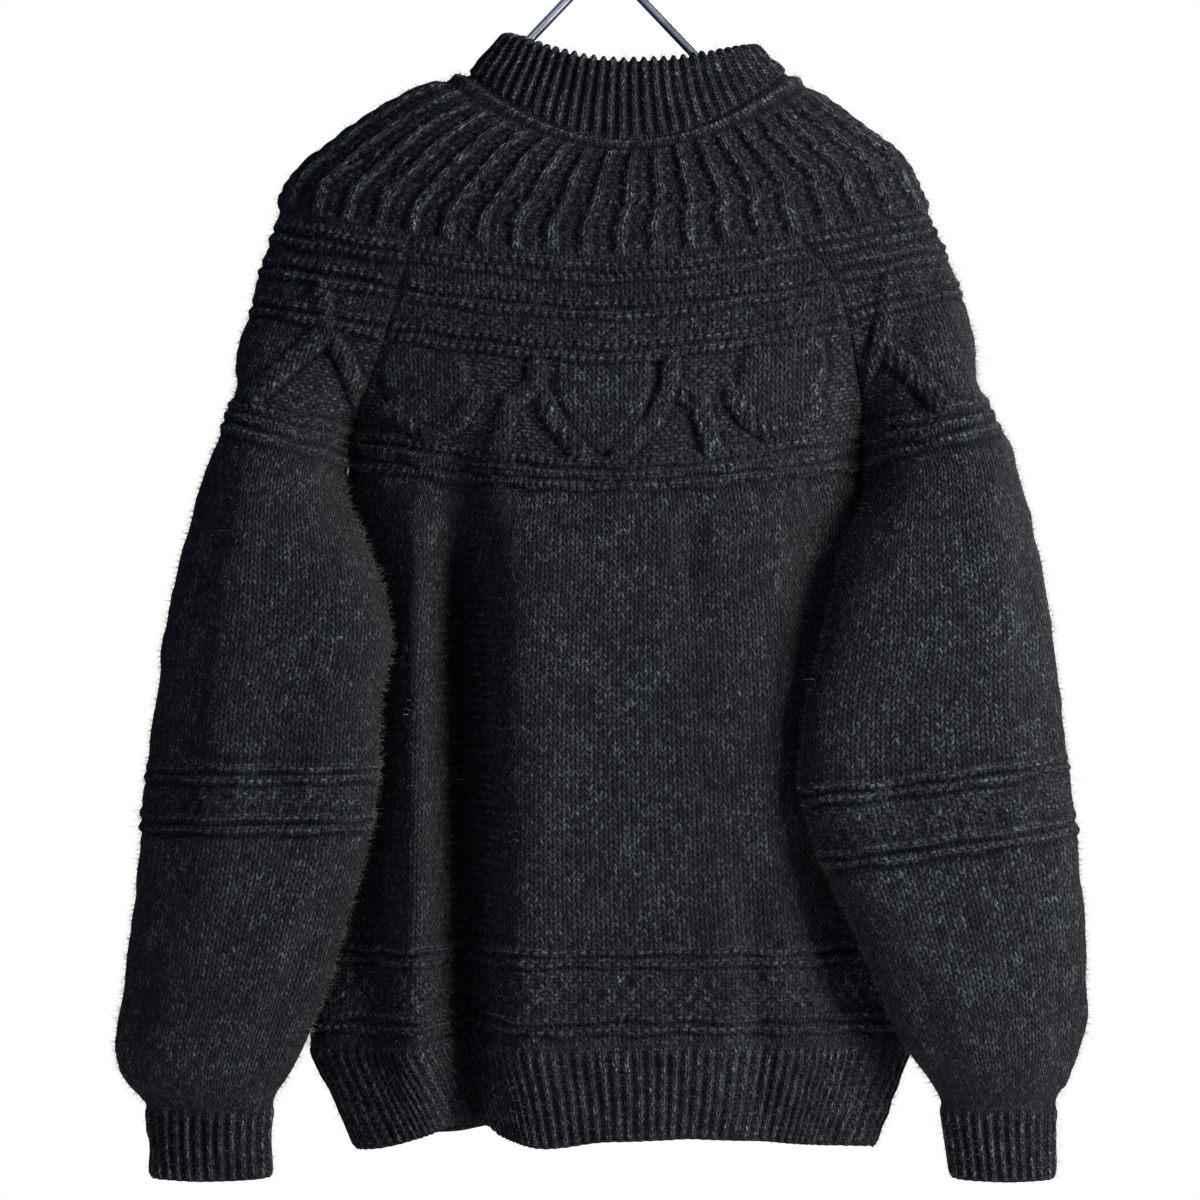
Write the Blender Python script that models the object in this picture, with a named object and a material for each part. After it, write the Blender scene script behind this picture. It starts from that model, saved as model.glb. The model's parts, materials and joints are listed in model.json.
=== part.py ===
"""A heavy hand-knitted pullover with a round yoke, hanging on a bent-rod hanger.

The cloth is worked out as knitted rounds. A round at the neck is a saddle-shaped
ring. Lower down each ring is pinched at four seams until it has become three
tubes, the body and the two sleeves, which meet at the armpits. Every piece is a
wall: its outer side carries the ribs, ridges and cables, its inner side is plain.

Lengths in the tables are millimetres. X runs to the right as seen from the
front, Y runs from the front to the back, Z runs up. The origin is the highest
point inside the hook, where the hanger rests on its rail.
"""
import math

import bmesh
import bpy
import numpy as np

MILLIMETRE = 0.001

# Walls and seams
CLOTH_WALL = 3.5
COLLAR_WALL = 7.0
SEAM_GAP = 0.34
SEAM_RECESS = 0.22
RELIEF_FADE = 6.0
ARMPIT_FADE = 16.0

# Heights of the garment's main levels, as the drop below the neck seam at the centre
NECK_SEAM_Z = -175.0
YOKE_END = 77.0
ARMPIT = 213.0
RIB_START = 568.0
HEM_END = 628.0
CUFF_START = 638.0
BODY_GUIDE = 420.0
SLEEVE_ROW_Z = -147.0

# How quickly a round is pinched into three tubes below the yoke
PINCH_POWER = 2.5

# The sleeves lean forward from here down
LEAN_START = 115.0

# Folds of the body die away in this share of its bulge beside the side seams
FOLD_EDGE = 0.4

# Columns of wall faces: plain cloth, cables, ribs
BODY_COLUMNS = 32
BODY_CABLE_COLUMNS = 64
BODY_RIB_COLUMNS = 92
SLEEVE_COLUMNS = 20
SLEEVE_CABLE_COLUMNS = 40
SLEEVE_RIB_COLUMNS = 54
YOKE_RIBS = 42
COLLAR_RIBS = 68

# Heights of the raised knitting
COLLAR_RIB_HEIGHT = 2.2
YOKE_RIB_HEIGHT = 2.6
HEM_RIB_HEIGHT = 1.8
RIDGE_HEIGHT = 2.0
CABLE_HEIGHT = 3.0
CABLE_HALF_WIDTH = 6.0
CABLE_REPEAT = 78.0

# The hanger: one bent rod with a hook on its crown
ROD_RADIUS = 3.0
ROD_END_X = 185.0
ROD_END_Z = -193.8
ROD_BOW_X = 140.0
ROD_BOW_Z = -160.5
ROD_NECK_X = 85.0
ROD_NECK_Z = -144.7
ROD_CROWN_Z = -60.2
ROD_CROWN_BEND = 12.0
ROD_NECK_BEND = 40.0
ROD_BOW_BEND = 70.0
HOOK_INNER_RADIUS = 20.0
HOOK_WIRE_RADIUS = 2.0
FERRULE_RADIUS = 4.5
FERRULE_HEIGHT = 7.0
FERRULE_GAP = 0.3

STEP = 0.5
RAW_SAMPLES = 720


def table(names, rows):
    """Turn rows of numbers into one array for each named column."""
    columns = np.array(rows, dtype=float).T
    return dict(zip(names, columns))


# Rounds of the yoke, from the neck seam to the armpit. drop is the height below
# the neck seam at the centre, left and right are the ring's ends on the shoulder
# line, saddle says how the round rises to its ends, and the seam columns say
# where the seams between body and sleeves cross the round.
ROUNDS = table(
    ("drop", "left_x", "left_z", "right_x", "right_z", "half_depth", "fullness", "saddle",
     "seam_left", "seam_right"),
    (
        (0, -86, -129, 115, -128, 42, 2.0, 2.0, -60, 80),
        (14, -116, -138, 141, -146, 50, 2.0, 1.9, -80, 92),
        (29, -148, -155, 167, -166, 55, 2.1, 1.8, -95, 104),
        (45, -178, -177, 188, -182, 58, 2.2, 1.7, -108, 112),
        (60, -200, -197, 198, -200, 60, 2.2, 1.6, -116, 118),
        (82, -210, -223, 209, -223, 62, 2.2, 1.5, -122, 125),
        (103, -218, -247, 217, -242, 63, 2.2, 1.5, -127, 141),
        (131, -225, -273, 226, -265, 64, 2.2, 1.5, -135, 151),
        (163, -234, -305, 235, -296, 64, 2.2, 1.5, -146, 158),
        (188, -236, -327, 237, -322, 63, 2.2, 1.5, -156, 163),
        (213, -240, -349, 247, -349, 62, 2.2, 1.5, -163, 165),
    ),
)

# The collar stands on the neck seam. rise is the share of its height.
COLLAR = table(
    ("rise", "left_x", "left_z", "right_x", "right_z", "centre_z", "half_depth"),
    (
        (0.0, -86, -129, 115, -128, -175, 42),
        (0.35, -80, -122, 110, -124, -158, 38),
        (0.7, -71, -112, 103, -118, -140, 36),
        (1.0, -64, -104, 97, -112, -125, 36),
    ),
)

# The body tube below the armpit. side_y is how far back its side folds sit,
# side_lift is how much higher the sides of a row are than its centre.
BODY = table(
    ("drop", "left_x", "right_x", "side_y", "front_y", "back_y", "side_lift"),
    (
        (213, -163, 165, 0, -62, 62, 17),
        (225, -163, 166, 12, -62, 62, 16),
        (240, -164, 167, 25, -62, 63, 14),
        (265, -169, 171, 35, -61, 64, 11),
        (310, -179, 179, 40, -60, 65, 6),
        (390, -186, 186, 40, -60, 66, 0),
        (470, -189, 191, 36, -60, 65, -2),
        (530, -191, 196, 25, -59, 62, -4),
        (565, -190, 196, 14, -57, 59, -5),
        (598, -174, 185, 6, -54, 55, -9),
        (628, -158, 172, 0, -52, 52, -12),
    ),
)

SLEEVE_NAMES = ("drop", "outer_x", "inner_x", "tilt", "outer_y", "inner_y", "half_depth", "fullness")

# Sections of the sleeve on the left of the view, below the armpit. tilt is how
# much higher the outer edge of a row is than its inner edge, and the y columns
# say how far forward each edge hangs.
LEFT_SLEEVE = table(
    SLEEVE_NAMES,
    (
        (213, -240, -163, 22, -20, 0, 51, 2.0),
        (234, -248, -165, 18, -26, -7, 49, 2.0),
        (254, -255, -160, 14, -31, -15, 47, 2.0),
        (279, -262, -150, 10, -36, -25, 46, 2.1),
        (318, -272, -137, 5, -39, -35, 44, 2.2),
        (343, -277, -134, 2, -40, -39, 42, 2.2),
        (382, -282, -141, 0, -40, -40, 42, 2.2),
        (433, -289, -143, 0, -40, -40, 42, 2.2),
        (478, -293, -151, 0, -39, -39, 41, 2.2),
        (510, -296, -160, 0, -38, -38, 41, 2.2),
        (548, -301, -171, 0, -36, -36, 40, 2.2),
        (574, -305, -180, 0, -34, -34, 39, 2.2),
        (599, -309, -190, 0, -32, -32, 36, 2.2),
        (618, -304, -200, 0, -30, -30, 31, 2.1),
        (630, -294, -208, 0, -28, -28, 26, 2.1),
        (640, -288, -211, 0, -27, -27, 22, 2.0),
        (657, -287, -213, 0, -26, -26, 21, 2.0),
        (682, -285, -212, 0, -26, -26, 21, 2.0),
    ),
)

# Sections of the sleeve on the right of the view, which swings further forward.
RIGHT_SLEEVE = table(
    SLEEVE_NAMES,
    (
        (213, 247, 165, 22, -22, 0, 51, 2.0),
        (234, 257, 167, 19, -29, -8, 49, 2.0),
        (254, 262, 161, 17, -35, -17, 47, 2.0),
        (279, 268, 151, 15, -41, -28, 46, 2.1),
        (318, 276, 141, 13, -45, -40, 44, 2.2),
        (343, 280, 135, 12, -47, -45, 42, 2.2),
        (382, 284, 125, 14, -47, -47, 42, 2.2),
        (420, 289, 122, 20, -47, -47, 42, 2.2),
        (446, 291, 128, 24, -46, -46, 42, 2.2),
        (478, 296, 139, 22, -45, -45, 42, 2.2),
        (510, 299, 153, 16, -43, -43, 41, 2.2),
        (548, 302, 168, 8, -40, -40, 41, 2.2),
        (574, 303, 178, 4, -37, -37, 39, 2.2),
        (603, 298, 192, 0, -34, -34, 36, 2.2),
        (621, 291, 205, 0, -31, -31, 30, 2.1),
        (634, 284, 212, 0, -29, -29, 24, 2.0),
        (657, 283, 216, 0, -28, -28, 21, 2.0),
        (682, 283, 220, 0, -28, -28, 21, 2.0),
    ),
)

FOLD_NAMES = ("top_x", "low_x", "half_width", "depth", "start", "full", "fade", "end")

# Folds of the body. A fold runs down from top_x to low_x, and its depth is
# pushed into the body, or out of it where it is below zero.
FRONT_FOLDS = table(
    FOLD_NAMES,
    (
        (-92, -85, 13, 56, 172, 330, 640, 700),
        (-121, -121, 12, -10, 205, 300, 560, 640),
        (-152, -152, 21, 20, 218, 295, 500, 600),
        (-42, -48, 24, -7, 215, 300, 520, 640),
        (54, 60, 11, 5, 222, 255, 270, 320),
        (88, 98, 13, 8, 430, 500, 570, 700),
        (152, 149, 25, 26, 218, 300, 480, 590),
    ),
)
BACK_FOLDS = table(
    FOLD_NAMES,
    (
        (84, 78, 14, 40, 185, 350, 640, 700),
        (118, 116, 14, -9, 215, 310, 560, 640),
        (30, 36, 24, -6, 215, 300, 520, 640),
        (-58, -64, 12, 8, 235, 300, 420, 520),
        (-104, -98, 13, 12, 380, 470, 600, 700),
    ),
)

SLEEVE_FOLD_NAMES = ("top_turn", "low_turn", "half_turn", "depth", "start", "full", "fade", "end")

# Folds of the sleeves. A turn of 0 is the inner edge, a quarter is the front,
# a half is the outer edge and three quarters is the back.
LEFT_SLEEVE_FOLDS = table(
    SLEEVE_FOLD_NAMES,
    (
        (0.30, 0.29, 0.035, -6, 205, 265, 450, 540),
        (0.22, 0.20, 0.040, 4, 300, 380, 480, 600),
        (0.10, 0.16, 0.035, 5, 470, 530, 580, 622),
        (0.38, 0.40, 0.040, 5, 520, 575, 600, 630),
        (0.70, 0.73, 0.040, 6, 260, 340, 480, 600),
    ),
)
RIGHT_SLEEVE_FOLDS = table(
    SLEEVE_FOLD_NAMES,
    (
        (0.33, 0.31, 0.040, -4, 215, 285, 420, 520),
        (0.17, 0.22, 0.040, 5, 330, 410, 480, 590),
        (0.12, 0.15, 0.035, 4, 520, 560, 590, 625),
        (0.36, 0.40, 0.040, 5, 520, 575, 600, 630),
        (0.72, 0.69, 0.040, 6, 270, 350, 470, 600),
    ),
)

# Garter ridges: where each stands and how far it reaches on either side.
RIDGE_NAMES = ("drop", "reach")
YOKE_RIDGES = table(RIDGE_NAMES, ((82, 5), (103, 4), (132, 4), (208, 7)))
BODY_RIDGES = table(RIDGE_NAMES, ((517, 7), (553, 7)))
SLEEVE_RIDGES = table(RIDGE_NAMES, ((426, 6), (466, 6)))

YOKE_ROWS = (77.2, 82, 87, 99, 103, 107, 128, 132, 137)
CABLE_ROWS = (144, 158, 172, 186, 199)
BODY_LOW_ROWS = (203, 208, 213, 224, 245, 275, 320, 370, 420, 465, 509, 517, 525, 545, 553, 561)
HEM_ROWS = (569, 600, 628)
BODY_INNER_ROWS = (77.2, 120, 165, 199, 213, 224, 245, 275, 320, 395, 480, 561, 600, 628)
SLEEVE_LOW_ROWS = (203, 208, 213, 224, 240, 270, 310, 360, 419, 426, 433, 459, 466, 473, 510, 550,
                   585, 606, 622)
CUFF_ROWS = (640, 660, 682)
SLEEVE_INNER_ROWS = (77.2, 120, 165, 199, 213, 224, 240, 270, 310, 360, 435, 510, 550, 585, 606, 622,
                     640, 682)


def smooth(source, key, name, value):
    """Read a column at any height: a cubic through the rows with level-limited slopes."""
    keys = source[key]
    values = source[name]
    spans = np.diff(keys)
    rates = np.diff(values) / spans
    slopes = np.empty_like(values)
    slopes[0] = rates[0]
    slopes[-1] = rates[-1]
    both = rates[:-1] * rates[1:] > 0
    mean = 2 * rates[:-1] * rates[1:] / np.where(both, rates[:-1] + rates[1:], 1)
    slopes[1:-1] = np.where(both, mean, 0)
    value = np.clip(value, keys[0], keys[-1])
    index = min(int(np.searchsorted(keys, value, side="right")) - 1, len(keys) - 2)
    span = spans[index]
    t = (value - keys[index]) / span
    return ((1 + 2 * t) * (1 - t) ** 2 * values[index]
            + t * (1 - t) ** 2 * span * slopes[index]
            + t * t * (3 - 2 * t) * values[index + 1]
            + t * t * (t - 1) * span * slopes[index + 1])


def ease(value, start, end):
    """Rise from 0 at start to 1 at end with level ends."""
    t = np.clip((value - start) / (end - start), 0, 1)
    return t * t * (3 - 2 * t)


def power(value, exponent):
    """A power that keeps the sign."""
    return np.sign(value) * np.abs(value) ** exponent


def round_section(drop):
    """The sizes of the ring at one height of the yoke."""
    size = {name: smooth(ROUNDS, "drop", name, drop) for name in ROUNDS}
    size["centre_x"] = (size["left_x"] + size["right_x"]) / 2
    size["half_width"] = (size["right_x"] - size["left_x"]) / 2
    size["mid_z"] = NECK_SEAM_Z - drop
    return size


def ring_points(size, angle):
    """Points of a ring: a superellipse whose ends rise along the shoulder line."""
    across = power(np.cos(angle), 2 / size["fullness"])
    along = power(np.sin(angle), 2 / size["fullness"])
    end_z = np.where(across > 0, size["right_z"], size["left_z"])
    x = size["centre_x"] + size["half_width"] * across
    y = size["half_depth"] * along
    z = size["mid_z"] + (end_z - size["mid_z"]) * np.abs(across) ** size["saddle"]
    return np.stack([x, y, z], axis=-1)


def seam_share(size, side):
    """How far out along the half width the seam stands, and its angle on the ring."""
    share = abs(size["seam_" + side] - size["centre_x"]) / size["half_width"]
    angle = math.acos(share ** (size["fullness"] / 2))
    return share, angle


def seam_height(size, side):
    """The height of the seam where it crosses the ring."""
    share = seam_share(size, side)[0]
    return size["mid_z"] + (size[side + "_z"] - size["mid_z"]) * share ** size["saddle"]


def pinch(drop):
    """How far a ring has become three tubes: 0 at the yoke's end, 1 at the armpit."""
    return min(max((drop - YOKE_END) / (ARMPIT - YOKE_END), 0), 1) ** PINCH_POWER


def yoke_curve(drop, turn):
    """A whole round of the yoke, from the back centre over the left side to the front."""
    return ring_points(round_section(drop), math.pi / 2 + 2 * math.pi * turn)


def collar_curve(rise, turn):
    """A whole round of the collar, with the same start as the yoke's rounds."""
    size = {name: smooth(COLLAR, "rise", name, rise) for name in COLLAR}
    size["centre_x"] = (size["left_x"] + size["right_x"]) / 2
    size["half_width"] = (size["right_x"] - size["left_x"]) / 2
    size["mid_z"] = size["centre_z"]
    size["fullness"] = 2.0
    size["saddle"] = 2.0
    return ring_points(size, math.pi / 2 + 2 * math.pi * turn)


def body_curve(drop, turn, front):
    """A row of the front or back, from its left edge to its right edge."""
    across = -np.cos(math.pi * turn)
    bulge = np.sin(math.pi * turn)
    sign = -1 if front else 1
    deep = "front_y" if front else "back_y"
    if drop > ARMPIT:
        size = {name: smooth(BODY, "drop", name, drop) for name in BODY}
        mid_z = NECK_SEAM_Z - drop
        left_z = right_z = mid_z + size["side_lift"]
        left_x, right_x = size["left_x"], size["right_x"]
        side_y, deep_y = size["side_y"], size[deep]
        share = 1.0
    else:
        size = round_section(drop)
        mid_z = size["mid_z"]
        left_z, right_z = seam_height(size, "left"), seam_height(size, "right")
        left_x, right_x = size["seam_left"], size["seam_right"]
        side_y, deep_y = 0.0, sign * size["half_depth"]
        share = pinch(drop)
    end_z = np.where(across > 0, right_z, left_z)
    x = (left_x + right_x) / 2 + (right_x - left_x) / 2 * across
    y = side_y + (deep_y - side_y) * bulge
    z = mid_z + (end_z - mid_z) * np.abs(across) ** 1.5
    tube = np.stack([x, y, z], axis=-1)
    if share < 1:
        left_angle = math.pi - seam_share(size, "left")[1]
        right_angle = seam_share(size, "right")[1]
        ring = ring_points(size, sign * (left_angle + (right_angle - left_angle) * turn))
        tube = ring * (1 - share) + tube * share
    folds = FRONT_FOLDS if front else BACK_FOLDS
    tube[..., 1] -= sign * fold_depth(folds, drop, tube[..., 0]) * ease(bulge, 0, FOLD_EDGE)
    return tube


def fold_depth(folds, drop, x):
    """The sum of the folds at one height: bell-shaped troughs and ridges along the row."""
    total = np.zeros_like(x)
    for i in range(len(folds["depth"])):
        run = (drop - folds["start"][i]) / (HEM_END - folds["start"][i])
        centre = folds["top_x"][i] + (folds["low_x"][i] - folds["top_x"][i]) * min(max(run, 0), 1)
        rise = ease(drop, folds["start"][i], folds["full"][i])
        fall = 1 - ease(drop, folds["fade"][i], folds["end"][i])
        bell = np.exp(-((x - centre) / folds["half_width"][i]) ** 2)
        total += folds["depth"][i] * rise * fall * bell
    return total


def sleeve_curve(drop, turn, left):
    """A row of a sleeve, from the inner edge over the front and outer edge to the back."""
    side = "left" if left else "right"
    inward = 1 if left else -1
    source = LEFT_SLEEVE if left else RIGHT_SLEEVE
    size = {name: smooth(source, "drop", name, drop) for name in source}
    outer_z = SLEEVE_ROW_Z - drop + size["tilt"] / 2
    inner_z = SLEEVE_ROW_Z - drop - size["tilt"] / 2
    share = pinch(drop)
    if drop <= ARMPIT:
        ring = round_section(drop)
        outer_z, inner_z = ring[side + "_z"], seam_height(ring, side)
        size["outer_x"], size["inner_x"] = ring[side + "_x"], ring["seam_" + side]
        lean = (max(drop - LEAN_START, 0) / (ARMPIT - LEAN_START)) ** 2
        size["outer_y"] *= lean
        size["half_depth"] = ring["half_depth"] + (size["half_depth"] - ring["half_depth"]) * lean
    angle = 2 * math.pi * turn
    across = power(np.cos(angle), 2 / size["fullness"])
    along = power(np.sin(angle), 2 / size["fullness"])
    middle = {axis: (size["outer_" + axis] + size["inner_" + axis]) / 2 for axis in "xy"}
    half_width = abs(size["outer_x"] - size["inner_x"]) / 2
    x = middle["x"] + inward * half_width * across
    y = middle["y"] + (size["inner_y"] - size["outer_y"]) / 2 * across - size["half_depth"] * along
    z = (outer_z + inner_z) / 2 + (inner_z - outer_z) / 2 * across
    tube = np.stack([x, y, z], axis=-1)
    if share < 1:
        seam = seam_share(ring, side)[1]
        ring_angle = seam - math.pi - 2 * seam * turn if left else 2 * seam * turn - seam
        tube = ring_points(ring, ring_angle) * (1 - share) + tube * share
    if drop > ARMPIT - 10:
        folds = LEFT_SLEEVE_FOLDS if left else RIGHT_SLEEVE_FOLDS
        toward = np.array([middle["x"], middle["y"], 0]) - tube
        toward[..., 2] = 0
        toward /= np.maximum(np.linalg.norm(toward, axis=-1, keepdims=True), 1e-6)
        tube = tube + toward * sleeve_fold_depth(folds, drop, turn)[..., None]
    return tube


def sleeve_fold_depth(folds, drop, turn):
    """The sum of a sleeve's folds at one height, by their place around the tube."""
    total = np.zeros_like(turn)
    for i in range(len(folds["depth"])):
        run = ease(drop, folds["start"][i], folds["end"][i])
        centre = folds["top_turn"][i] + (folds["low_turn"][i] - folds["top_turn"][i]) * run
        rise = ease(drop, folds["start"][i], folds["full"][i])
        fall = 1 - ease(drop, folds["fade"][i], folds["end"][i])
        bell = np.exp(-((turn - centre) / folds["half_turn"][i]) ** 2)
        total += folds["depth"][i] * rise * fall * bell
    return total


def measure(curve, height):
    """A row's raw places and the length of cloth up to each of them."""
    raw = np.linspace(0, 1, RAW_SAMPLES + 1)
    fine = curve(height, raw)
    return raw, np.concatenate([[0], np.cumsum(np.linalg.norm(np.diff(fine, axis=0), axis=1))])


def spread(curve, height, shares, closed, guide=None):
    """Points at even steps of cloth along a row, or at the steps of a guide row."""
    raw, run = measure(curve, height if guide is None else guide)
    place = np.mod(shares, 1) if closed else np.clip(shares, 0, 1)
    return curve(height, np.interp(place * run[-1], run, raw))


def cloth_row(curve, height, columns, closed, outward, height_step=STEP, level_edges=0.0, guide=None):
    """Points of a row with their outward directions and their shares of its length.

    level_edges turns the directions at both edges square to the seam that they share.
    guide is the height of the row whose columns this row keeps.
    """
    length = measure(curve, height)[1][-1]
    trim = 0 if closed else SEAM_GAP / 2 / length
    shares = np.linspace(trim, 1 - trim, columns + 1)
    if closed:
        shares = shares[:-1]
    points = spread(curve, height, shares, closed, guide)
    step = STEP / length
    ahead = spread(curve, height, shares + step, closed, guide)
    along = ahead - spread(curve, height, shares - step, closed, guide)
    above = spread(curve, height - height_step, shares, closed, guide)
    below = spread(curve, height + height_step, shares, closed, guide)
    normals = np.cross(along, below - above) * outward
    if level_edges:
        normals[[0, -1], 1] *= 1 - level_edges
    normals /= np.linalg.norm(normals, axis=1, keepdims=True)
    return points, normals, shares, length


def seam_fade(drop, shares, length):
    """Raised knitting dies away beside a seam, further from it where the armpit is near."""
    near = np.minimum(shares, 1 - shares) * length
    close = pinch(drop) if drop <= ARMPIT else 1 - ease(drop, ARMPIT, ARMPIT + 40)
    return ease(near, 0, RELIEF_FADE + ARMPIT_FADE * close)


def ridge_relief(ridges, drop):
    """The height of the garter ridges at one row."""
    reach = ridges["reach"]
    return RIDGE_HEIGHT * float(np.max(1 - ease(np.abs(drop - ridges["drop"]), 0, reach)))


def cable_relief(drop, distance):
    """Travelling cables: a zigzag of raised cords between the two ridges of the yoke."""
    top, low = CABLE_ROWS[0] - 4, CABLE_ROWS[-1] + 4
    height = (drop - top) / (low - top)
    phase = np.mod(distance / CABLE_REPEAT, 1)
    zigzag = 1 - np.abs(2 * phase - 1)
    sideways = np.abs(zigzag - height) * CABLE_REPEAT / 2
    inside = 1 if 0 <= height <= 1 else 0
    return CABLE_HEIGHT * inside * np.clip(1 - (sideways / CABLE_HALF_WIDTH) ** 2, 0, 1)


def rib_relief(columns, height):
    """One rib for every two columns: raised on odd columns."""
    return height * (np.arange(columns) % 2)


def panel_relief(drop, shares, length, rib_start, extra_ridges):
    """The raised knitting of a front, a back or a sleeve, above its ribbing."""
    if drop >= rib_start:
        relief = rib_relief(len(shares), HEM_RIB_HEIGHT)
    else:
        ridges = YOKE_RIDGES if drop < (YOKE_RIDGES["drop"][-1] + 20) else extra_ridges
        relief = np.full(len(shares), ridge_relief(ridges, drop))
        relief = np.maximum(relief, cable_relief(drop, (shares - 0.5) * length + CABLE_REPEAT / 2))
    return relief


class Wall:
    """A wall of cloth: rows of outer and inner points joined into one closed body."""

    def __init__(self):
        self.points = []
        self.faces = []

    def add_row(self, points, closed):
        """Keep a row of points and give their numbers, with the first again at the end if closed."""
        start = len(self.points)
        self.points.extend(points.tolist())
        numbers = list(range(start, start + len(points)))
        return numbers + numbers[:1] if closed else numbers

    def zip(self, first, second, first_at=None, second_at=None):
        """Join two lines of points by triangles, taking the shorter step each time."""
        first_at = np.linspace(0, 1, len(first)) if first_at is None else first_at
        second_at = np.linspace(0, 1, len(second)) if second_at is None else second_at
        i = j = 0
        while i < len(first) - 1 or j < len(second) - 1:
            if j == len(second) - 1:
                step_first = True
            elif i == len(first) - 1:
                step_first = False
            else:
                step_first = first_at[i] + first_at[i + 1] <= second_at[j] + second_at[j + 1]
            if step_first:
                face = (first[i], first[i + 1], second[j])
                i += 1
            else:
                face = (first[i], second[j + 1], second[j])
                j += 1
            if len(set(face)) == 3:
                self.faces.append(face)

    def close(self, outer, inner, outer_at, inner_at, open_rows):
        """Join all rows, the top and bottom rims, and the side rims beside open rows."""
        for rows in (outer, inner):
            for above, below in zip(rows[:-1], rows[1:]):
                self.zip(above, below)
        self.zip(outer[0], inner[0])
        self.zip(outer[-1], inner[-1])
        if open_rows:
            last_outer = [k for k, at in enumerate(outer_at) if at <= open_rows]
            last_inner = [k for k, at in enumerate(inner_at) if at <= open_rows]
            for end in (0, -1):
                self.zip([outer[k][end] for k in last_outer], [inner[k][end] for k in last_inner],
                         [outer_at[k] for k in last_outer], [inner_at[k] for k in last_inner])


def add_object(name, points, faces, material, smooth_angle=math.radians(50)):
    """Make a mesh object from points in millimetres, with its faces turned outwards."""
    mesh = bpy.data.meshes.new(name)
    mesh.from_pydata([[c * MILLIMETRE for c in p] for p in points], [], faces)
    body = bmesh.new()
    body.from_mesh(mesh)
    bmesh.ops.recalc_face_normals(body, faces=body.faces)
    body.to_mesh(mesh)
    body.free()
    mesh.shade_smooth()
    mesh.set_sharp_from_angle(angle=smooth_angle)
    mesh.materials.append(material)
    item = bpy.data.objects.new(name, mesh)
    bpy.context.scene.collection.objects.link(item)
    return item


def add_material(name, colour, roughness, metallic):
    """A plain finish."""
    material = bpy.data.materials.new(name)
    material.use_nodes = True
    shader = material.node_tree.nodes["Principled BSDF"]
    shader.inputs["Base Color"].default_value = (*colour, 1)
    shader.inputs["Roughness"].default_value = roughness
    shader.inputs["Metallic"].default_value = metallic
    return material


def column_count(drop, plain, cable, rib, rib_start):
    """How many columns a row has: more where cables or ribs are raised."""
    if drop >= rib_start:
        return rib
    return cable if CABLE_ROWS[0] <= drop <= CABLE_ROWS[-1] else plain


def make_body_panel(name, front, material):
    """The front or the back, from the yoke to the hem, with its ribbed welt."""
    wall = Wall()
    outward = -1 if front else 1

    def curve(drop, turn):
        return body_curve(drop, turn, front)

    rows = YOKE_ROWS + CABLE_ROWS + BODY_LOW_ROWS + HEM_ROWS
    outer, inner = [], []
    for drop in rows:
        columns = column_count(drop, BODY_COLUMNS, BODY_CABLE_COLUMNS, BODY_RIB_COLUMNS, RIB_START + 1)
        points, normals, shares, length = cloth_row(curve, drop, columns, False, outward, STEP, pinch(drop),
                                                     BODY_GUIDE)
        fade = seam_fade(drop, shares, length)
        relief = panel_relief(drop, shares, length, RIB_START + 1, BODY_RIDGES)
        relief = relief * fade - SEAM_RECESS * (1 - fade)
        outer.append(wall.add_row(points + normals * relief[:, None], False))
    for drop in BODY_INNER_ROWS:
        points, normals, shares, length = cloth_row(curve, drop, BODY_COLUMNS, False, outward, STEP,
                                                     pinch(drop), BODY_GUIDE)
        inner.append(wall.add_row(points - normals * CLOTH_WALL, False))
    wall.close(outer, inner, rows, BODY_INNER_ROWS, HEM_END)
    return add_object(name, wall.points, wall.faces, material)


def make_sleeve(name, left, material):
    """A sleeve: an open cap between the seams, then a tube down to the ribbed cuff."""
    wall = Wall()
    outward = 1 if left else -1

    def curve(drop, turn):
        return sleeve_curve(drop, turn, left)

    rows = YOKE_ROWS + CABLE_ROWS + SLEEVE_LOW_ROWS + CUFF_ROWS
    outer, inner = [], []
    for drop in rows:
        closed = drop >= ARMPIT
        columns = column_count(drop, SLEEVE_COLUMNS, SLEEVE_CABLE_COLUMNS, SLEEVE_RIB_COLUMNS, CUFF_START)
        edges = 0.0 if closed else pinch(drop)
        points, normals, shares, length = cloth_row(curve, drop, columns, closed, outward, STEP, edges)
        relief = panel_relief(drop, shares, length, CUFF_START, SLEEVE_RIDGES)
        fade = seam_fade(drop, shares, length) if drop < ARMPIT + 40 else np.ones_like(shares)
        relief = relief * fade - SEAM_RECESS * (1 - fade)
        outer.append(wall.add_row(points + normals * relief[:, None], closed))
    for drop in SLEEVE_INNER_ROWS:
        closed = drop >= ARMPIT
        edges = 0.0 if closed else pinch(drop)
        points, normals, shares, length = cloth_row(curve, drop, SLEEVE_COLUMNS, closed, outward, STEP, edges)
        inner.append(wall.add_row(points - normals * CLOTH_WALL, closed))
    wall.close(outer, inner, rows, SLEEVE_INNER_ROWS, ARMPIT)
    return add_object(name, wall.points, wall.faces, material)


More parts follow.
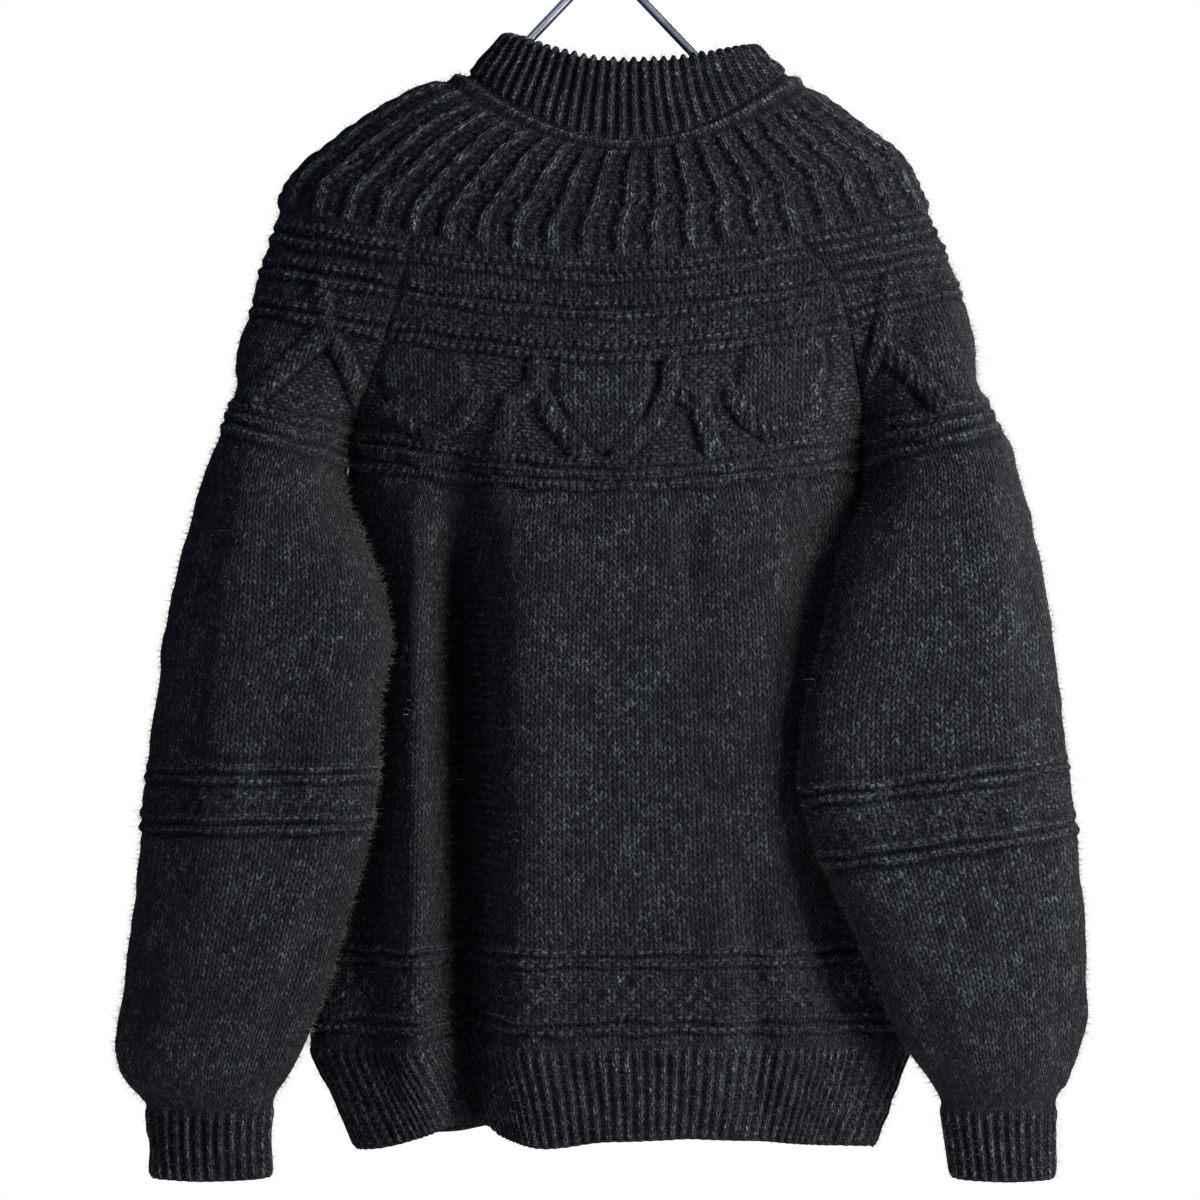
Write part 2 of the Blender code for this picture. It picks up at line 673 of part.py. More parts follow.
def make_yoke(material):
    """The round yoke: a ring of ribs that fan out from the neck seam."""
    wall = Wall()
    rows = (SEAM_GAP / 2, 5, 20, 36, 52, 69, YOKE_END - SEAM_GAP / 2)
    heights = (0.0, 1.0, 1.0, 1.0, 1.0, 0.8, 0.0)
    inner_rows = (SEAM_GAP / 2, 20, 36, 52, YOKE_END - SEAM_GAP / 2)
    columns = 3 * YOKE_RIBS
    rib = np.where(np.arange(columns) % 3 > 0, 1.0, 0.0)
    outer, inner = [], []
    for drop, height in zip(rows, heights):
        points, normals, shares, length = cloth_row(yoke_curve, drop, columns, True, -1)
        relief = RIDGE_HEIGHT * np.ones(columns) * height if drop == rows[1] else YOKE_RIB_HEIGHT * height * rib
        outer.append(wall.add_row(points + normals * relief[:, None], True))
    for drop in inner_rows:
        points, normals, shares, length = cloth_row(yoke_curve, drop, YOKE_RIBS, True, -1)
        inner.append(wall.add_row(points - normals * CLOTH_WALL, True))
    wall.close(outer, inner, rows, inner_rows, None)
    return add_object("yoke", wall.points, wall.faces, material)


def make_collar(material):
    """The doubled collar: a thick ribbed band with a rounded top edge."""
    wall = Wall()
    columns = 2 * COLLAR_RIBS
    rows = (0.006, 0.1, 0.55, 0.94)
    ribs = (0.0, 1.0, 1.0, 0.6)
    outer, inner = [], []
    for rise, height in zip(rows, ribs):
        points, normals, shares, length = cloth_row(collar_curve, rise, columns, True, 1, 0.01)
        relief = rib_relief(columns, COLLAR_RIB_HEIGHT) * height
        outer.insert(0, wall.add_row(points + normals * relief[:, None], True))
    points, normals, shares, length = cloth_row(collar_curve, 1.0, columns // 2, True, 1, 0.01)
    outer.insert(0, wall.add_row(points - normals * COLLAR_WALL / 2, True))
    for rise in (0.94, 0.55, 0.006):
        points, normals, shares, length = cloth_row(collar_curve, rise, columns // 4, True, 1, 0.01)
        inner.append(wall.add_row(points - normals * COLLAR_WALL, True))
    wall.close(outer, inner, rows, rows, None)
    return add_object("collar", wall.points, wall.faces, material)


def fillet(before, corner, after, radius, steps):
    """Points of the arc that rounds one corner of a path."""
    before, corner, after = (np.array(p, dtype=float) for p in (before, corner, after))
    first = (before - corner) / np.linalg.norm(before - corner)
    second = (after - corner) / np.linalg.norm(after - corner)
    half = math.acos(float(np.dot(first, second))) / 2
    reach = radius / math.tan(half)
    middle = (first + second) / np.linalg.norm(first + second)
    centre = corner + middle * radius / math.sin(half)
    start = corner + first * reach - centre
    end = corner + second * reach - centre
    sweep = math.pi - 2 * half
    angles = np.linspace(0, 1, steps + 1)
    return [centre + (start * math.sin((1 - t) * sweep) + end * math.sin(t * sweep)) / math.sin(sweep)
            for t in angles]


def rod(name, path, radii, sides, material):
    """A round rod along a path in the plane of the hanger, closed at both ends."""
    path = np.array(path, dtype=float)
    heading = np.gradient(path, axis=0)
    heading /= np.linalg.norm(heading, axis=1, keepdims=True)
    upward = np.stack([-heading[:, 1], heading[:, 0]], axis=1)
    wall = Wall()
    angle = 2 * math.pi * np.arange(sides) / sides
    rows = []
    for place, up, radius in zip(path, upward, radii):
        ring = np.stack([place[0] + up[0] * radius * np.cos(angle), radius * np.sin(angle),
                         place[1] + up[1] * radius * np.cos(angle)], axis=1)
        rows.append(wall.add_row(ring, True))
    for first, second in zip(rows[:-1], rows[1:]):
        wall.zip(first, second)
    for row in (rows[0], rows[-1]):
        wall.faces.append(tuple(row[:-1]))
    return add_object(name, wall.points, wall.faces, material, math.radians(35))


def make_hanger(material):
    """The hanger's bent rod and, on its crown, the hook with its ferrule."""
    crown = (0.0, ROD_CROWN_Z + ROD_CROWN_BEND * (math.sqrt(2) - 1))
    left_end, right_end = (-ROD_END_X, ROD_END_Z), (ROD_END_X, ROD_END_Z)
    left_bow, right_bow = (-ROD_BOW_X, ROD_BOW_Z), (ROD_BOW_X, ROD_BOW_Z)
    left_neck, right_neck = (-ROD_NECK_X, ROD_NECK_Z), (ROD_NECK_X, ROD_NECK_Z)
    path = [np.array(left_end)]
    path += fillet(left_end, left_bow, left_neck, ROD_BOW_BEND, 3)
    path += fillet(left_bow, left_neck, crown, ROD_NECK_BEND, 3)
    path += fillet(left_neck, crown, right_neck, ROD_CROWN_BEND, 6)
    path += fillet(crown, right_neck, right_bow, ROD_NECK_BEND, 3)
    path += fillet(right_neck, right_bow, right_end, ROD_BOW_BEND, 3)
    path.append(np.array(right_end))
    seat = max(point[1] for point in path) + ROD_RADIUS + FERRULE_GAP
    radii = [ROD_RADIUS] * len(path)
    toward = path[1] - path[0]
    dome = toward / np.linalg.norm(toward) * ROD_RADIUS / 2
    path = [path[0] - dome, path[0]] + path[1:-1] + [path[-1], path[-1] + dome * (-1, 1)]
    radii = [ROD_RADIUS / 2] + radii + [ROD_RADIUS / 2]
    rod("hanger_rod", path, radii, 10, material)
    loop = HOOK_INNER_RADIUS + HOOK_WIRE_RADIUS
    centre = np.array([0.0, -HOOK_INNER_RADIUS])
    join = math.radians(-50)
    start = np.array([0.0, seat + FERRULE_HEIGHT + 2])
    end = centre + loop * np.array([math.cos(join), math.sin(join)])
    rising = np.array([0.0, 12.0])
    leaving = np.array([-math.sin(join), math.cos(join)]) * 12
    stem = []
    for t in np.linspace(0, 1, 6):
        stem.append((1 + 2 * t) * (1 - t) ** 2 * start + t * (1 - t) ** 2 * rising
                    + t * t * (3 - 2 * t) * end + t * t * (t - 1) * leaving)
    arc = [centre + loop * np.array([math.cos(a), math.sin(a)])
           for a in np.linspace(join, math.radians(205), 15)[1:]]
    foot = [np.array([0.0, seat]), np.array([0.0, seat + FERRULE_HEIGHT]),
            np.array([0.0, seat + FERRULE_HEIGHT + 1])]
    path = foot + stem + arc
    radii = [FERRULE_RADIUS, FERRULE_RADIUS] + [HOOK_WIRE_RADIUS] * (len(path) - 2)
    rod("hanger_hook", path, radii, 8, material)


def main():
    """Clear the scene and build every piece."""
    for item in list(bpy.data.objects):
        bpy.data.objects.remove(item, do_unlink=True)
    wool = add_material("charcoal_wool", (0.012, 0.014, 0.016), 0.95, 0.0)
    ribbing = add_material("charcoal_rib", (0.011, 0.013, 0.015), 0.95, 0.0)
    steel = add_material("bright_steel", (0.62, 0.63, 0.65), 0.28, 1.0)
    make_collar(ribbing)
    make_yoke(wool)
    make_body_panel("front", True, wool)
    make_body_panel("back", False, wool)
    make_sleeve("sleeve_left", True, wool)
    make_sleeve("sleeve_right", False, wool)
    make_hanger(steel)


main()
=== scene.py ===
"""Dresses the frame of a round-yoke pullover on a hanger in knitted cloth.

Every shell of cloth is a surface of two parameters. One is the drop, the height
below the neck seam. The other is the turn, from one edge of the piece to the
other. The outer side carries the knitting, raised along the surface's own
directions, and the inner side is plain. Lengths are millimetres until a mesh is
made. X runs to the right as seen from the front, Y from the front to the back,
Z up, and the origin is the highest point inside the hook.
"""
import json
import math

import bpy
import mathutils
import numpy as np
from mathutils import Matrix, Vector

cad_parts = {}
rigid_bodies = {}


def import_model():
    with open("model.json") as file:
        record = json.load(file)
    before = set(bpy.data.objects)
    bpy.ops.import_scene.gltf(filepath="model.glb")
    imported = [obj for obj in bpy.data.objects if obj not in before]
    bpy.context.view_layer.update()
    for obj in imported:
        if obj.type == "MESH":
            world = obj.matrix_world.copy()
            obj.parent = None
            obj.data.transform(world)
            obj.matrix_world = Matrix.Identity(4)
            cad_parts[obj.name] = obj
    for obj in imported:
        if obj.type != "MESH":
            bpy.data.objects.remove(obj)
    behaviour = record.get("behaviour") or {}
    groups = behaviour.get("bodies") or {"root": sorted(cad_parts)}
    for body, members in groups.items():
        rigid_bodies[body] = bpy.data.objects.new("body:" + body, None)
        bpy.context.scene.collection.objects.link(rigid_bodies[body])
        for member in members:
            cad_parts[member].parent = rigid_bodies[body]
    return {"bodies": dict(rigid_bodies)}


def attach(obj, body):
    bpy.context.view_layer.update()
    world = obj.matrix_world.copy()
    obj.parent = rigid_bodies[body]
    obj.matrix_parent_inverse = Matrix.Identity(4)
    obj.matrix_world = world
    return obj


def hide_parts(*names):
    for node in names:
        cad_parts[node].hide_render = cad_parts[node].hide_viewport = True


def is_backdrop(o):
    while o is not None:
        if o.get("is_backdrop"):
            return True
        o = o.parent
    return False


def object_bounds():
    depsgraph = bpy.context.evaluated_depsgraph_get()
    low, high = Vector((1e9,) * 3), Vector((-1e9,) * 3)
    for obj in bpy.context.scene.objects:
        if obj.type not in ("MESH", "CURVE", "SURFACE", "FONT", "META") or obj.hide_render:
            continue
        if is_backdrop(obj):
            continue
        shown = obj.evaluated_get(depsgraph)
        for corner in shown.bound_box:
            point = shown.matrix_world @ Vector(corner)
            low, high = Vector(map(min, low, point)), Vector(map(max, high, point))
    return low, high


bl_info = {
    "name": "Round-yoke pullover on a hanger",
    "version": (1, 0, 0),
    "blender": (4, 5, 0),
    "location": "3D View > Sidebar > Knitwear",
    "description": "Knitted cloth, loose fibres, hanger and stage for a round-yoke pullover",
    "category": "Object",
}

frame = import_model()
BODY_NAME = next(iter(frame["bodies"]))
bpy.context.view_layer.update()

MILLIMETRE = 0.001
CLOTH_WALL = 3.5
COLLAR_WALL = 7.0
NECK_SEAM_Z = -175.0
YOKE_END = 77.0
ARMPIT = 213.0
RIB_START = 568.0
HEM_END = 628.0
CUFF_START = 638.0
CUFF_END = 682.0
BODY_GUIDE = 420.0
SLEEVE_ROW_Z = -147.0
PINCH_POWER = 2.5
LEAN_START = 115.0
FOLD_EDGE = 0.4
ARMPIT_FULLNESS = 7.0
INNER_STEP = 4
RAW_SAMPLES = 720
PANEL_COLUMNS = 432
CAP_ROWS = 80
TUBE_START = 210.0
RIB_STEPS = 8
YOKE_RIB_STEPS = 14

# Raised knitting: garter ridges with a groove beside each, basket bands, cords, patches between
# them, the band that carries both, and the cloth beside a seam
RIDGE_REACH = 4.5
RIDGE_PURL_REACH = 3.4
GROOVE_AWAY, GROOVE_REACH, GROOVE_DEPTH = 3.9, 2.3, 1.7
BETWEEN_REACH = 13.0
BASKET_STEP = 9.0
BASKET_HEIGHT = 0.5
CORD_HALF_WIDTH = 6.4
CORD_TWIST = 9.0
PATCH_GROOVE = 0.8
BAND_DEPTH = 1.6
SEAM_SINK = 1.2
WAVES = 28

# The yoke: drops of the small arches, repeats of the ropes and rungs, and heights
ARCH_TOP, ARCH_RISE, ARCH_HEIGHT = 41, 7, 2.6
ROPE_REPEAT = 6.4
RUNG_REPEAT, RUNG_HEIGHT, RUNG_DEPTH = 5.0, 1.1, 1.2

# Painted shade and highlight: how far off a point's surroundings are taken, and where the painted shade of
# hollows and the painted highlight of tops begin and end
AROUND = 4.0
SHADE_FROM, SHADE_FULL = 0.1, 1.3

# Hairs: how thick they are, and the share of a mesh's faces or points that is its outer side
OUTER_SHARE = 0.93
NAP_THICKNESS = 0.115
FIBRE_THICKNESS = 0.09
LINT_THICKNESS = 0.16

# The collar: rows up its outer side, over its edge and down its inner side, the share of its
# height at which the edge starts, the edge's length as such a share, and its height
COLLAR_UP, COLLAR_OVER, COLLAR_DOWN = 30, 9, 23
COLLAR_TOP = 0.93
COLLAR_EDGE = 0.22
COLLAR_HEIGHT = 50

# The hanger: places on its centre line in X and Z, bends and the hook
ROD_CROWN = (0.0, -60.2)
ROD_NECK = (85.0, -144.7)
ROD_BOW = (140.0, -160.5)
ROD_END = (185.0, -193.8)
ROD_CROWN_BEND = 12.0
ROD_NECK_BEND = 40.0
ROD_BOW_BEND = 70.0
HOOK_INNER_RADIUS = 20.0
HOOK_JOIN = -50.0
HOOK_END = 205.0
HOOK_STEM_PULL = 12.0
FERRULE_RADIUS = 4.5
FERRULE_HEIGHT = 7.0
FERRULE_EDGE = 0.6
END_ANGLE = 1.35
END_RINGS = 6

# The middle of the view, in X and Z, in metres
VIEW_MIDDLE = (-0.0032, -0.4646)

# Soft lights: name, place, width and colour. They are aimed at the middle of the garment.
LIGHTS = (
    ("key", (1.0, -0.85, -0.1), 0.7, (1.0, 0.965, 0.88)),
    ("fill", (-0.9, -2.4, 0.5), 1.2, (0.95, 0.98, 1.0)),
    ("rear", (0.8, 1.7, 0.6), 1.2, (0.97, 0.98, 1.0)),
)
LIGHT_TARGET = (0.0, 0.0, -0.45)
SURROUND_COLOUR = (0.5, 0.66, 1.0, 1)
WHITE = (1, 1, 1, 1)
FLOOR_CORNERS = 96
SENSOR_WIDTH = 36.0


def table(names, rows):
    """Turn rows of numbers into one array for each named column."""
    return dict(zip(names.split(), np.array(rows, dtype=float).T))


# Rounds of the yoke, from the neck seam to the armpit
ROUNDS = table("drop left_x left_z right_x right_z half_depth fullness saddle seam_left seam_right", (
    (0, -86, -129, 115, -128, 42, 2.0, 2.0, -60, 80),
    (14, -116, -138, 141, -146, 50, 2.0, 1.9, -80, 92),
    (29, -148, -155, 167, -166, 55, 2.1, 1.8, -95, 104),
    (45, -178, -177, 188, -182, 58, 2.2, 1.7, -108, 112),
    (60, -200, -197, 198, -200, 60, 2.2, 1.6, -116, 118),
    (82, -210, -223, 209, -223, 62, 2.2, 1.5, -122, 125),
    (103, -218, -247, 217, -242, 63, 2.2, 1.5, -127, 141),
    (131, -225, -273, 226, -265, 64, 2.2, 1.5, -135, 151),
    (163, -234, -305, 235, -296, 64, 2.2, 1.5, -146, 158),
    (188, -236, -327, 237, -322, 63, 2.2, 1.5, -156, 163),
    (213, -240, -349, 247, -349, 62, 2.2, 1.5, -163, 165),
))

# The collar stands on the neck seam
COLLAR = table("rise left_x left_z right_x right_z centre_z half_depth", (
    (0.0, -86, -129, 115, -128, -175, 42),
    (0.35, -80, -122, 110, -124, -158, 38),
    (0.7, -71, -112, 103, -118, -140, 36),
    (1.0, -64, -104, 97, -112, -125, 36),
))

# The body tube below the armpit
BODY = table("drop left_x right_x side_y front_y back_y side_lift", (
    (213, -163, 165, 0, -62, 62, 17),
    (225, -163, 166, 12, -62, 62, 16),
    (240, -164, 167, 25, -62, 63, 14),
    (265, -169, 171, 35, -61, 64, 11),
    (310, -179, 179, 40, -60, 65, 6),
    (390, -186, 186, 40, -60, 66, 0),
    (470, -189, 191, 36, -60, 65, -2),
    (530, -191, 196, 25, -59, 62, -4),
    (565, -190, 196, 14, -57, 59, -5),
    (598, -174, 185, 6, -54, 55, -9),
    (628, -158, 172, 0, -52, 52, -12),
))

# Sections of the sleeves below the armpit, left and right of the view
SLEEVE_NAMES = "drop outer_x inner_x tilt outer_y inner_y half_depth fullness"
LEFT_SLEEVE = table(SLEEVE_NAMES, (
    (213, -240, -163, 22, -20, 0, 51, 2.0),
    (234, -248, -165, 18, -26, -7, 49, 2.0),
    (254, -255, -160, 14, -31, -15, 47, 2.0),
    (279, -262, -150, 10, -36, -25, 46, 2.1),
    (318, -272, -137, 5, -39, -35, 44, 2.2),
    (343, -277, -134, 2, -40, -39, 42, 2.2),
    (382, -282, -141, 0, -40, -40, 42, 2.2),
    (433, -289, -143, 0, -40, -40, 42, 2.2),
    (478, -293, -151, 0, -39, -39, 41, 2.2),
    (510, -296, -160, 0, -38, -38, 41, 2.2),
    (548, -301, -171, 0, -36, -36, 40, 2.2),
    (574, -305, -180, 0, -34, -34, 39, 2.2),
    (599, -309, -190, 0, -32, -32, 36, 2.2),
    (618, -304, -200, 0, -30, -30, 31, 2.1),
    (630, -294, -208, 0, -28, -28, 26, 2.1),
    (640, -288, -211, 0, -27, -27, 22, 2.0),
    (657, -287, -213, 0, -26, -26, 21, 2.0),
    (682, -285, -212, 0, -26, -26, 21, 2.0),
))
RIGHT_SLEEVE = table(SLEEVE_NAMES, (
    (213, 247, 165, 22, -22, 0, 51, 2.0),
    (234, 257, 167, 19, -29, -8, 49, 2.0),
    (254, 262, 161, 17, -35, -17, 47, 2.0),
    (279, 268, 151, 15, -41, -28, 46, 2.1),
    (318, 276, 141, 13, -45, -40, 44, 2.2),
    (343, 280, 135, 12, -47, -45, 42, 2.2),
    (382, 284, 125, 14, -47, -47, 42, 2.2),
    (420, 289, 122, 20, -47, -47, 42, 2.2),
    (446, 291, 128, 24, -46, -46, 42, 2.2),
    (478, 296, 139, 22, -45, -45, 42, 2.2),
    (510, 299, 153, 16, -43, -43, 41, 2.2),
    (548, 302, 168, 8, -40, -40, 41, 2.2),
    (574, 303, 178, 4, -37, -37, 39, 2.2),
    (603, 298, 192, 0, -34, -34, 36, 2.2),
    (621, 291, 205, 0, -31, -31, 30, 2.1),
    (634, 284, 212, 0, -29, -29, 24, 2.0),
    (657, 283, 216, 0, -28, -28, 21, 2.0),
    (682, 283, 220, 0, -28, -28, 21, 2.0),
))

# Folds of the body: from top_x to low_x, pushed into the body, or out where depth is below zero
FOLD_NAMES = "top_x low_x half_width depth start full fade end"
FRONT_FOLDS = table(FOLD_NAMES, (
    (-91, -84, 17, 56, 172, 330, 640, 700),
    (-121, -121, 12, -10, 205, 300, 560, 640),
    (-152, -152, 21, 20, 218, 295, 500, 600),
    (-42, -48, 24, -7, 215, 300, 520, 640),
    (54, 60, 11, 5, 222, 255, 270, 320),
    (88, 98, 13, 8, 430, 500, 570, 700),
    (152, 149, 25, 26, 218, 300, 480, 590),
))
BACK_FOLDS = table(FOLD_NAMES, (
    (84, 78, 14, 40, 185, 350, 640, 700),
    (118, 116, 14, -9, 215, 310, 560, 640),
    (30, 36, 24, -6, 215, 300, 520, 640),
    (-58, -64, 12, 8, 235, 300, 420, 520),
    (-104, -98, 13, 12, 380, 470, 600, 700),
))

# Folds of the sleeves, by their place around the tube
SLEEVE_FOLD_NAMES = "top_turn low_turn half_turn depth start full fade end"
LEFT_SLEEVE_FOLDS = table(SLEEVE_FOLD_NAMES, (
    (0.30, 0.29, 0.035, -6, 205, 265, 450, 540),
    (0.22, 0.20, 0.040, 4, 300, 380, 480, 600),
    (0.10, 0.16, 0.035, 5, 470, 530, 580, 622),
    (0.38, 0.40, 0.040, 5, 520, 575, 600, 630),
    (0.70, 0.73, 0.040, 6, 260, 340, 480, 600),
))
RIGHT_SLEEVE_FOLDS = table(SLEEVE_FOLD_NAMES, (
    (0.33, 0.31, 0.040, -4, 215, 285, 420, 520),
    (0.17, 0.22, 0.040, 5, 330, 410, 480, 590),
    (0.12, 0.15, 0.035, 4, 520, 560, 590, 625),
    (0.36, 0.40, 0.040, 5, 520, 575, 600, 630),
    (0.72, 0.69, 0.040, 6, 270, 350, 470, 600),
))

# Knitted bands: garter ridges by their drop, and the basket bands between them
BODY_RIDGES = (82.5, 89.5, 104.5, 112.5, 131.0, 139.0, 205.0, 212.0, 219.0, 508.0, 515.5, 550.0, 557.5)
LEFT_RIDGES = (84.0, 91.0, 103.5, 111.5, 130.5, 138.0, 204.5, 211.5, 218.5, 421.0, 428.0, 452.0, 459.0)
RIGHT_RIDGES = (81.0, 88.0, 99.0, 107.5, 127.0, 134.5, 204.5, 211.5, 218.5, 425.0, 432.0, 464.0, 471.5)
BODY_BASKETS = ((115.5, 128.0), (519.0, 546.5))
LEFT_BASKETS = ((114.5, 127.5), (431.0, 449.0))
RIGHT_BASKETS = ((110.5, 124.0), (435.0, 461.0))
CABLE_BAND = (142.0, 202.0)

# Cables: cords from one place to another in X and drop
CORD_NAMES = "top_x top_drop low_x low_drop"
BODY_CORDS = table(CORD_NAMES, (
    (-43, 143, -43, 159),
    (-43, 159, -59, 171),
    (-59, 171, -67, 201),
    (-43, 159, -32, 179),
    (-32, 179, -13, 201),
    (41, 143, 41, 159),
    (41, 159, 31, 179),
    (31, 179, 8, 201),
    (41, 159, 59, 172),
    (59, 172, 67, 201),
    (80, 170, 90, 186),
    (90, 186, 111, 199),
    (111, 199, 133, 186),
    (-82, 170, -92, 186),
    (-92, 186, -113, 199),
    (-113, 199, -134, 186),
))
LEFT_CAP_CORDS = table(CORD_NAMES, (
    (-178, 116, -174, 142),
    (-174, 142, -162, 160),
    (-162, 160, -153, 186),
    (-174, 142, -196, 164),
    (-196, 164, -221, 196),
))
RIGHT_CAP_CORDS = table(CORD_NAMES, (
    (178, 120, 173, 156),
    (173, 156, 160, 176),
    (160, 176, 154, 198),
    (173, 156, 192, 176),
    (192, 176, 212, 203),
))

# Patches of plain knitting that stand out between the cables: ellipses by centre and half sizes
PATCH_NAMES = "x drop half_width half_height height"
BODY_PATCHES = table(PATCH_NAMES, ((111, 162, 29, 36, 2.6), (-113, 162, 29, 36, 2.6), (-1, 148, 31, 52, 2.6)))
CAP_PATCHES = table(PATCH_NAMES, ((222, 156, 28, 40, 1.7), (-220, 150, 30, 40, 1.7)))


def columns_at(source, value):
    """Every column of a table at any values of its first one: a cubic through the rows, with
    harmonic means of the rates as its slopes, level where the rows turn back."""
    keys = next(iter(source.values()))
    spans = np.diff(keys)
    value = np.clip(value, keys[0], keys[-1])
    index = np.clip(np.searchsorted(keys, value, side="right") - 1, 0, len(keys) - 2)
    span = spans[index]
    t = (value - keys[index]) / span
    found = {}
    for name, values in source.items():
        rates = np.diff(values) / spans
        both = rates[:-1] * rates[1:] > 0
        mean = 2 * rates[:-1] * rates[1:] / np.where(both, rates[:-1] + rates[1:], 1)
        slopes = np.concatenate([rates[:1], np.where(both, mean, 0), rates[-1:]])
        found[name] = ((1 + 2 * t) * (1 - t) ** 2 * values[index]
                       + t * (1 - t) ** 2 * span * slopes[index]
                       + t * t * (3 - 2 * t) * values[index + 1]
                       + t * t * (t - 1) * span * slopes[index + 1])
    return found


def ease(value, start, end):
    """Rise from 0 at start to 1 at end with level ends."""
    t = np.clip((value - start) / (end - start), 0, 1)
    return t * t * (3 - 2 * t)


def bell(distance, reach):
    """1 at no distance, falling to 0 at the reach."""
    return 1 - ease(np.abs(distance), 0, reach)


def power(value, exponent):
    """A power that keeps the sign."""
    return np.sign(value) * np.abs(value) ** exponent


def ring_sizes(source, value):
    """The sizes of rings at many heights, with the centre and the half width of each."""
    size = columns_at(source, value)
    size["centre_x"] = (size["left_x"] + size["right_x"]) / 2
    size["half_width"] = (size["right_x"] - size["left_x"]) / 2
    return size


def round_sizes(drop):
    """The sizes of the rings at many heights of the yoke."""
    size = ring_sizes(ROUNDS, drop)
    size["mid_z"] = NECK_SEAM_Z - np.minimum(drop, ARMPIT)
    return size


def ring_points(size, angle):
    """A superellipse in X and Y whose ends rise to the shoulder line by a power of |cos|."""
    across = power(np.cos(angle), 2 / size["fullness"])
    along = power(np.sin(angle), 2 / size["fullness"])
    end_z = np.where(across > 0, size["right_z"], size["left_z"])
    x = size["centre_x"] + size["half_width"] * across
    y = size["half_depth"] * along
    z = size["mid_z"] + (end_z - size["mid_z"]) * np.abs(across) ** size["saddle"]
    return np.stack(np.broadcast_arrays(x, y, z), axis=-1)


def seam_share(size, side):
    """How far out along the half width the seam stands, and its angle on the ring."""
    share = np.abs(size["seam_" + side] - size["centre_x"]) / size["half_width"]
    return share, np.arccos(share ** (size["fullness"] / 2))


def seam_height(size, side):
    """The height of the seam where it crosses the ring."""
    share = seam_share(size, side)[0]
    return size["mid_z"] + (size[side + "_z"] - size["mid_z"]) * share ** size["saddle"]


def pinch(drop):
    """How far a ring has become three tubes: 0 at the yoke's end, 1 at the armpit."""
    return np.clip((drop - YOKE_END) / (ARMPIT - YOKE_END), 0, 1) ** PINCH_POWER


def yoke_surface(drop, turn):
    """Whole rings, from the back centre over the left side to the front."""
    return ring_points(round_sizes(drop), math.pi / 2 + 2 * math.pi * turn)


def collar_surface(rise, turn):
    """Whole rings of the collar, with the same start as the yoke's."""
    size = ring_sizes(COLLAR, rise)
    size["mid_z"] = size["centre_z"]
    size["fullness"] = size["saddle"] = 2.0
    return ring_points(size, math.pi / 2 + 2 * math.pi * turn)


def fold_depth(folds, drop, place):
    """The sum of the folds: bell-shaped troughs and ridges that wander down the cloth."""
    total = 0.0
    for top, low, half, depth, start, full, fade, end in zip(*folds.values()):
        run = np.clip((drop - start) / (HEM_END - start), 0, 1)
        centre = top + (low - top) * run
        strength = ease(drop, start, full) * (1 - ease(drop, fade, end))
        total = total + depth * strength * np.exp(-((place - centre) / half) ** 2)
    return total


def panel_surface(drop, turn, front):
    """The front or back. Above the armpit a ring bends into half of an oval tube by the
    pinch share. Below it each row is half of an oval with y = side + (deep - side) sin."""
    across = -np.cos(math.pi * turn)
    bulge = np.sin(math.pi * turn)
    sign = -1 if front else 1
    ring = round_sizes(drop)
    low = columns_at(BODY, drop)
    below = drop > ARMPIT
    left_z = np.where(below, NECK_SEAM_Z - drop + low["side_lift"], seam_height(ring, "left"))
    right_z = np.where(below, NECK_SEAM_Z - drop + low["side_lift"], seam_height(ring, "right"))
    fuller = ARMPIT_FULLNESS * bell(drop - 246, 36)
    left_x = np.where(below, low["left_x"] - fuller, ring["seam_left"])
    right_x = np.where(below, low["right_x"] + fuller, ring["seam_right"])
    side_y = np.where(below, low["side_y"], 0.0)
    deep_y = np.where(below, low["front_y" if front else "back_y"], sign * ring["half_depth"])
    mid_z = NECK_SEAM_Z - drop
    end_z = np.where(across > 0, right_z, left_z)
    x = (left_x + right_x) / 2 + (right_x - left_x) / 2 * across
    y = side_y + (deep_y - side_y) * bulge
    z = mid_z + (end_z - mid_z) * np.abs(across) ** 1.5
    tube = np.stack(np.broadcast_arrays(x, y, z), axis=-1)
    left_angle = math.pi - seam_share(ring, "left")[1]
    right_angle = seam_share(ring, "right")[1]
    whole = ring_points(ring, sign * (left_angle + (right_angle - left_angle) * turn))
    share = pinch(drop)[..., None]
    points = whole * (1 - share) + tube * share
    folds = FRONT_FOLDS if front else BACK_FOLDS
    points[..., 1] -= sign * fold_depth(folds, drop, points[..., 0]) * ease(bulge, 0, FOLD_EDGE)
    return points


